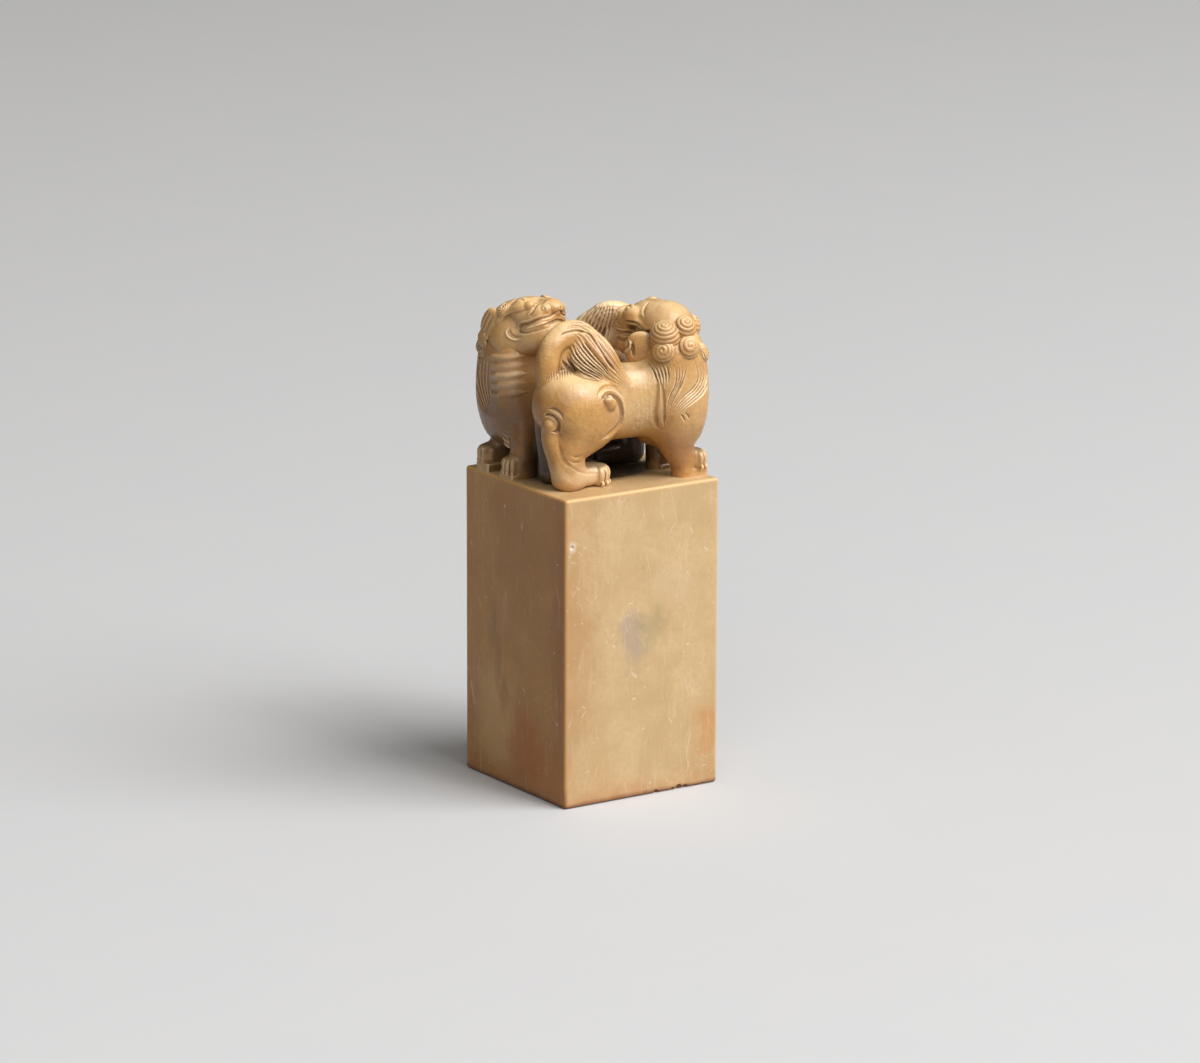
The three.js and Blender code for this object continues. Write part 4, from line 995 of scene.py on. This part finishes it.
def lionHead(pose):
    clay = newClay(headSpec["low"], headSpec["high"], seal["headGrain"])
    egg(clay, (-0.4, 0, 1.1), (5.0, 4.7, 4.45), blend=0.1)     # skull
    egg(clay, (2.9, 0, -1.9), (5.6, 4.1, 2.6), (0, 2, 0), 0.7, square=2.7)     # jaw
    egg(clay, (5.0, 0, 1.2), (3.7, 3.85, 2.3), (0, 6, 0), 0.6, square=2.7)     # muzzle
    egg(clay, (8.2, 0, 2.4), (1.0, 1.9, 0.9), (0, 10, 0), 0.4)     # nose
    egg(clay, (2.3, 0, 2.8), (4.2, 3.6, 2.5), (0, 4, 0), 0.6)
    egg(clay, (-3.2, 0, -1.8), (2.8, 4.0, 3.2), blend=0.6)
    for at, radii in pose["snout"]:
        egg(clay, at, radii, blend=0.5)
    for side in (1, -1):
        curl(clay, (8.0, side * 1.9, 1.7), (0.45, side * 0.85, 0.2), 0.85, 0.75, 1.7, 0.2, side, 0.2)     # nostril
        egg(clay, (3.9, side * 2.8, 2.75), (1.95, 1.65, 1.9), blend=0.35)
        egg(clay, (6.0, side * 3.1, 3.0), (0.8, 0.75, 0.8), blend=0.06)
        egg(clay, (-1.0, side * 3.3, -1.0), (3.2, 1.7, 2.7), blend=0.7)
        limb(clay, [(x, side * y, z, wide, thick) for x, y, z, wide, thick in pose["brow"]], (0, 1, 0), 0.6)
        curl(clay, (4.4, side * 2.8, 3.55), (0.3, side * 0.7, 0.65), 1.35, 1.05, 2.0, 0.3, side, 0.1)     # brow curl
        lionEar(clay, pose, side)
    for at, way, radius, height, hand in pose["curls"]:
        curl(clay, at, way, radius, height, 6.0 if radius > 2.2 else 4.6, 0.18, hand)
    keepInside(clay, headSpec["keepLow"], headSpec["keepHigh"])
    part, axes = window(clay, headSpec["low"], headSpec["high"])
    lie = turned(pose["turn"])
    for i in (0, 1):     # nothing stands out of the bar it was cut from
        out = np.abs(along(axes, (0, 0, 0), lie[i]) + headSpec["at"][i]) - headSpec["barHalf"]
        clay["d"][part] = np.maximum(clay["d"][part], out)
    return clay


def carveHead(mesh):
    jobs = [(headSpec[name], *cut) for name, cut in headSpec["sideCuts"].items()]
    for side in (1, -1):
        view = viewOf((1, 0, 0), (0, 0, 1), (0, side, 0))
        chisel(mesh, view, jobs, [past(1, 0.4, 0.5, side), past(0, -8.3, 0.8, -1)])
    jobs = [(headSpec[name], *cut) for name, cut in headSpec["frontCuts"].items()]
    chisel(mesh, viewOf((0, 1, 0), (0, 0, 1), (1, 0, 0)), jobs, [past(0, 7.5, 0.8)])


def makeHead(which):
    pose = heads[which]
    clay = lionHead(pose)
    mesh = meshFromClay(clay, which + "_lion_head")
    carveHead(mesh)
    mesh = thinned(mesh, seal["mostTriangles"])
    markHollows(mesh, clay)
    mesh.transform(Matrix.Translation(headSpec["at"]) @ Matrix(turned(pose["turn"]).tolist()).to_4x4())
    report(which, "head carved,", len(mesh.polygons), "faces")
    return mesh


foreParts = ("torso", "mane", "right_foreleg", "left_foreleg")
hindParts = ("torso", "tail", "right_hindleg", "left_hindleg")
headParts = ("head", "mane_curls")
for which, half in (("front", False), ("rear", True)):
    for part, mesh, solids in (("forequarters", foreMesh.copy(), foreParts),
                               ("hindquarters", hindMesh.copy(), hindParts), ("head", makeHead(which), headParts)):
        piece = placed(mesh, "carved_" + which + "_lion_" + part, carved, half)
        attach(piece, "root")
        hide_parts(*[which + "_lion_" + s for s in solids])


# geometry nodes; each tree has one named input for each of its sizes
def sizeTree(name, sizes):
    inputs = [("Geometry", "Geometry", None)]
    inputs += [(label, "Int" if isinstance(value, int) else "Float", value) for label, value in sizes.items()]
    tree, given, out = newTree(name, "GeometryNodeTree", inputs, [("Geometry", "Geometry")])
    return tree, given.outputs, out.inputs[0]


def xyz(tree, x, y, z):
    return put(tree, "ShaderNodeCombineXYZ", {"X": x, "Y": y, "Z": z}).outputs[0]


def joined(tree, *parts):
    whole = put(tree, "GeometryNodeJoinGeometry")
    for part in parts:
        feed(tree, whole.inputs[0], part)
    return whole


def endTree(tree, end, shape, material):
    whole = put(tree, "GeometryNodeRealizeInstances", {"Geometry": shape})
    feed(tree, end, put(tree, "GeometryNodeSetMaterial", {"Geometry": whole, "Material": material}))
    return tree


def grown(tree, mesh, name, values, material):
    holder = newObject(name, mesh)
    modifier = holder.modifiers.new("build", "NODES")
    modifier.node_group = tree
    ids = {item.name: item.identifier for item in tree.interface.items_tree if item.in_out == "INPUT"}
    for label, value in values.items():
        modifier[ids[label]] = value
    shape = baked(holder)
    holder.modifiers.clear()
    holder.data = shape
    dress(shape, material)
    return holder


blockSpec = {"Side": seal["side"] * mm, "Height": seal["blockTop"] * mm, "Edge": 0.5 * mm, "Wear": 0.05 * mm,
             "Recess Side": 28.4 * mm, "Recess Depth": 1.2 * mm, "Chip Size": 0.42 * mm, "Chip Seed": 7}
# x, y, z and size of each chip, mm
chipPlaces = [(3.0, -15.0, 0.1, 0.55), (7.4, -15.0, 0.1, 0.75), (8.6, -15.0, 0.1, 0.6), (6.2, -15.05, 0.15, 0.4),
              (-15.0, -6.0, 0.1, 0.4), (-15.0, 4.0, 0.05, 0.35), (15.0, 3.0, 0.1, 0.6), (15.0, -8.0, 0.1, 0.4),
              (-4.0, 15.0, 0.1, 0.5), (9.0, 15.0, 0.1, 0.45), (-14.9, -14.9, 22.0, 0.12), (-13.7, -15.1, 43.8, 0.4),
              (15.0, -14.9, 30.0, 0.16), (-14.95, 14.95, 34.0, 0.18), (12.0, -15.0, 0.1, 0.35)]


def blockTree():
    tree, given, end = sizeTree("sealBlock", blockSpec)
    cube = put(tree, "GeometryNodeMeshCube", {"Size": (math.pi, math.pi, math.pi), "Vertices X": 72, "Vertices Y": 72,
                                              "Vertices Z": 110})
    half = vectorMath(tree, "SCALE", xyz(tree, given["Side"], given["Side"], given["Height"]), scale=0.5)
    here = put(tree, "GeometryNodeInputPosition").outputs[0]
    spread = vectorMath(tree, "MULTIPLY", vectorMath(tree, "SINE", here), half)     # closer rows towards the edges
    edge = xyz(tree, given["Edge"], given["Edge"], given["Edge"])
    inner = vectorMath(tree, "SUBTRACT", half, edge)
    core = vectorMath(tree, "MINIMUM", spread, inner)
    core = vectorMath(tree, "MAXIMUM", core, vectorMath(tree, "MULTIPLY", inner, (-1, -1, -1)))
    away = vectorMath(tree, "NORMALIZE", vectorMath(tree, "SUBTRACT", spread, core))
    rounded = vectorMath(tree, "ADD", core, vectorMath(tree, "MULTIPLY", away, edge))
    uneven = mathNode(tree, "SUBTRACT", noise(tree, rounded, 120.0, 2, 0.5), 0.5)
    worn = vectorMath(tree, "SCALE", away, scale=times(tree, uneven, given["Wear"]))
    lift = xyz(tree, 0.0, 0.0, times(tree, given["Height"], 0.5))
    place = vectorMath(tree, "ADD", vectorMath(tree, "ADD", rounded, worn), lift)
    block = put(tree, "GeometryNodeSetPosition", {"Geometry": cube, "Position": place})
    # the chips: rough lumps on the points that come in, each as big as its size attribute says
    size = put(tree, "GeometryNodeInputNamedAttribute", {"Name": "size"}, data_type="FLOAT")
    lump = put(tree, "GeometryNodeMeshIcoSphere", {"Radius": given["Chip Size"], "Subdivisions": 3})
    spin = put(tree, "FunctionNodeRandomValue", {0: (0, 0, 0), 1: (6.2, 6.2, 6.2), "Seed": given["Chip Seed"]},
               data_type="FLOAT_VECTOR")
    chips = put(tree, "GeometryNodeInstanceOnPoints", {"Points": given["Geometry"], "Instance": lump, "Rotation": spin,
                                                       "Scale": size})
    chips = put(tree, "GeometryNodeRealizeInstances", {"Geometry": chips})
    rough = mathNode(tree, "SUBTRACT", noise(tree, here, 1500.0, 2, 0.5), 0.5)
    push = vectorMath(tree, "SCALE", put(tree, "GeometryNodeInputNormal"), scale=times(tree, rough, given["Chip Size"]))
    chips = put(tree, "GeometryNodeSetPosition", {"Geometry": chips, "Offset": push})
    hole = xyz(tree, given["Recess Side"], given["Recess Side"], times(tree, given["Recess Depth"], 2.0))
    cutters = joined(tree, chips, put(tree, "GeometryNodeMeshCube", {"Size": hole}))
    cut = put(tree, "GeometryNodeMeshBoolean", {"Mesh 1": block, "Mesh 2": cutters, "Self Intersection": True},
              operation="DIFFERENCE", solver="EXACT")
    return endTree(tree, end, cut, polished)


def makeBlock():
    spots = bpy.data.meshes.new("chip_places")
    spots.from_pydata([(x * mm, y * mm, z * mm) for x, y, z, size in chipPlaces], [], [])
    mark(spots, "size", [size * mm / blockSpec["Chip Size"] for x, y, z, size in chipPlaces])
    block = grown(blockTree(), spots, "seal_block", blockSpec, polished)
    mesh = block.data
    half = np.array((seal["side"], seal["side"], seal["blockTop"])) / 2
    near = half - np.abs(pointsOf(mesh) / mm - (0, 0, half[2]))     # how far in from the faces
    near.sort(axis=1)
    mark(mesh, "proud", np.clip(1.1 - near[:, 1] / 0.6, 0, 1) * (near[:, 0] < 0.5))
    smooth(mesh)
    mesh.set_sharp_from_angle(angle=math.radians(32))
    return block


block = makeBlock()
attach(block, "root")
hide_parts("shaft")
report("block cut,", len(block.data.polygons), "faces")

# printing face: a right-angled scroll standing in relief inside a plain border
faceSpec = {"Line Width": 1.25 * mm, "Line Depth": 0.8 * mm, "Corner": 0.35 * mm, "Plate Side": 28.3 * mm,
            "Plate": 0.45 * mm, "Plate Lift": 0.55 * mm}
scrollSpec = {"pitch": 2.6, "arms": 15, "borderHalf": 13.2, "lift": 0.42}     # mm


def scrollPath():
    x, y, points = 0.0, 0.0, [(0.0, 0.0)]
    for arm in range(scrollSpec["arms"]):
        reach = scrollSpec["pitch"] * (1 + arm // 2)
        x += (reach, 0, -reach, 0)[arm % 4]
        y += (0, reach, 0, -reach)[arm % 4]
        points.append((x, y))
    points = np.array(points)
    return points - (points.min(0) + points.max(0)) / 2


def faceTree():
    tree, given, end = sizeTree("printingFace", faceSpec)
    path = put(tree, "GeometryNodeMeshToCurve", {"Mesh": given["Geometry"]})
    path = put(tree, "GeometryNodeFilletCurve", {"Curve": path, "Radius": given["Corner"], "Count": 4}, mode="POLY")
    bar = put(tree, "GeometryNodeCurvePrimitiveQuadrilateral", {"Width": given["Line Width"],
                                                               "Height": given["Line Depth"]})
    lines = put(tree, "GeometryNodeCurveToMesh", {"Curve": path, "Profile Curve": bar, "Fill Caps": True})
    size = xyz(tree, given["Plate Side"], given["Plate Side"], given["Plate"])
    plate = put(tree, "GeometryNodeMeshCube", {"Size": size, "Vertices X": 12, "Vertices Y": 12})
    lift = xyz(tree, 0.0, 0.0, given["Plate Lift"])
    plate = put(tree, "GeometryNodeTransform", {"Geometry": plate, "Translation": lift})
    return endTree(tree, end, joined(tree, lines, plate), pasteStained)


def makeFace():
    scroll = scrollPath()
    side = scrollSpec["borderHalf"]
    border = np.array([(-side, -side), (side, -side), (side, side), (-side, side)])
    points = [(x * mm, y * mm, scrollSpec["lift"] * mm) for x, y in np.vstack([scroll, border])]
    edges = [(i, i + 1) for i in range(len(scroll) - 1)]
    edges += [(len(scroll) + i, len(scroll) + (i + 1) % 4) for i in range(4)]
    mesh = bpy.data.meshes.new("scroll_path")
    mesh.from_pydata(points, edges, [])
    return grown(faceTree(), mesh, "seal_printing_face", faceSpec, pasteStained)


face = makeFace()
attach(face, "root")
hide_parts("printing_face")
report("printing face cut")

# floor, light and camera, in metres
stageSpec = {"floorReach": 4.0, "floorSides": 64, "floorTone": 0.585, "bounceTone": 0.26,
             "worldTone": (1.0, 0.95, 0.88), "worldLight": 0.24,
             # name, way, how far, power, size
             "lamps": [("key", (0.36, -0.62, 0.74), 2.2, 67.0, 2.2), ("fill", (-0.55, -0.7, 0.6), 1.8, 6.5, 1.2),
                       ("spark", (0.15, -0.62, 0.8), 2.2, 6.0, 0.4)]}
cameraSpec = {"lens": 180, "sensor": 36, "shift": (8.48 / 1200, 9.0 / 1200), "at": (-0.53133, -0.79606, 0.27992),
              "right": (0.83216, -0.55452, 0.00301), "up": (0.13240, 0.20396, 0.96998),
              "back": (-0.53849, -0.80679, 0.24315)}


def makeFloor():
    reach, sides = stageSpec["floorReach"], stageSpec["floorSides"]
    mesh = bpy.data.meshes.new("floor")
    ring = [(reach * math.cos(a), reach * math.sin(a), 0) for a in np.linspace(0, 2 * math.pi, sides, endpoint=False)]
    mesh.from_pydata(ring, [], [tuple(range(sides))])
    floor = newObject("floor", mesh)
    floor.location.z = -0.00005     # a hair under the foot of the seal
    material, tree, shader, place = newMaterial("pale_floor", {"Roughness": 0.9, "Specular IOR Level": 0.1})
    tone, low = stageSpec["floorTone"], stageSpec["bounceTone"]
    dull, bright = (tone * 0.985, tone * 0.985, tone), (tone * 1.015, tone * 1.015, tone * 1.02)
    paper = mixColor(tree, noise(tree, place, 30.0, 3), dull, bright)
    ray = put(tree, "ShaderNodeLightPath").outputs     # the floor throws less light back than it shows
    shown = mathNode(tree, "ADD", ray["Is Camera Ray"], ray["Is Transmission Ray"], True)
    shown = mathNode(tree, "ADD", shown, ray["Is Glossy Ray"], True)
    feed(tree, shader.inputs["Base Color"], mixColor(tree, shown, (low, low, low), paper))
    dress(mesh, material)


def makeLight():
    world = bpy.data.worlds.new("studio")
    bpy.context.scene.world = world
    world.use_nodes = True
    tree = world.node_tree     # brighter from above and from the front, like a tent of cloth
    sky = tree.nodes["Background"]
    split = put(tree, "ShaderNodeSeparateXYZ", {0: put(tree, "ShaderNodeTexCoord").outputs["Generated"]}).outputs
    high = plus(tree, times(tree, mathNode(tree, "MAXIMUM", split["Z"], 0.0), 1.5), 0.2)
    near = plus(tree, times(tree, split["Y"], -0.55), 0.75)
    feed(tree, sky.inputs["Color"], stageSpec["worldTone"])
    feed(tree, sky.inputs["Strength"], times(tree, times(tree, high, near), stageSpec["worldLight"]))
    for name, way, far, power, size in stageSpec["lamps"]:
        lamp = bpy.data.lights.new(name, "AREA")
        lamp.energy = power
        lamp.shape = "DISK"
        lamp.size = size
        holder = newObject(name, lamp)
        holder.location = Vector(way).normalized() * far + Vector((0, 0, 0.04))     # round the middle of the seal
        holder.rotation_euler = (-Vector(way)).to_track_quat("-Z", "Y").to_euler()


def makeCamera():
    lens = bpy.data.cameras.new("camera")
    lens.lens = cameraSpec["lens"]
    lens.sensor_fit = "HORIZONTAL"
    lens.sensor_width = cameraSpec["sensor"]
    lens.shift_x, lens.shift_y = cameraSpec["shift"]
    lens.clip_start, lens.clip_end = 0.05, 20
    camera = newObject("camera", lens)
    place = Matrix((cameraSpec["right"], cameraSpec["up"], cameraSpec["back"])).transposed().to_4x4()
    place.translation = cameraSpec["at"]
    camera.matrix_world = place
    bpy.context.scene.camera = camera


makeFloor()
makeLight()
makeCamera()
bpy.context.scene.view_settings.view_transform = "Standard"
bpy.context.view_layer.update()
report("done")
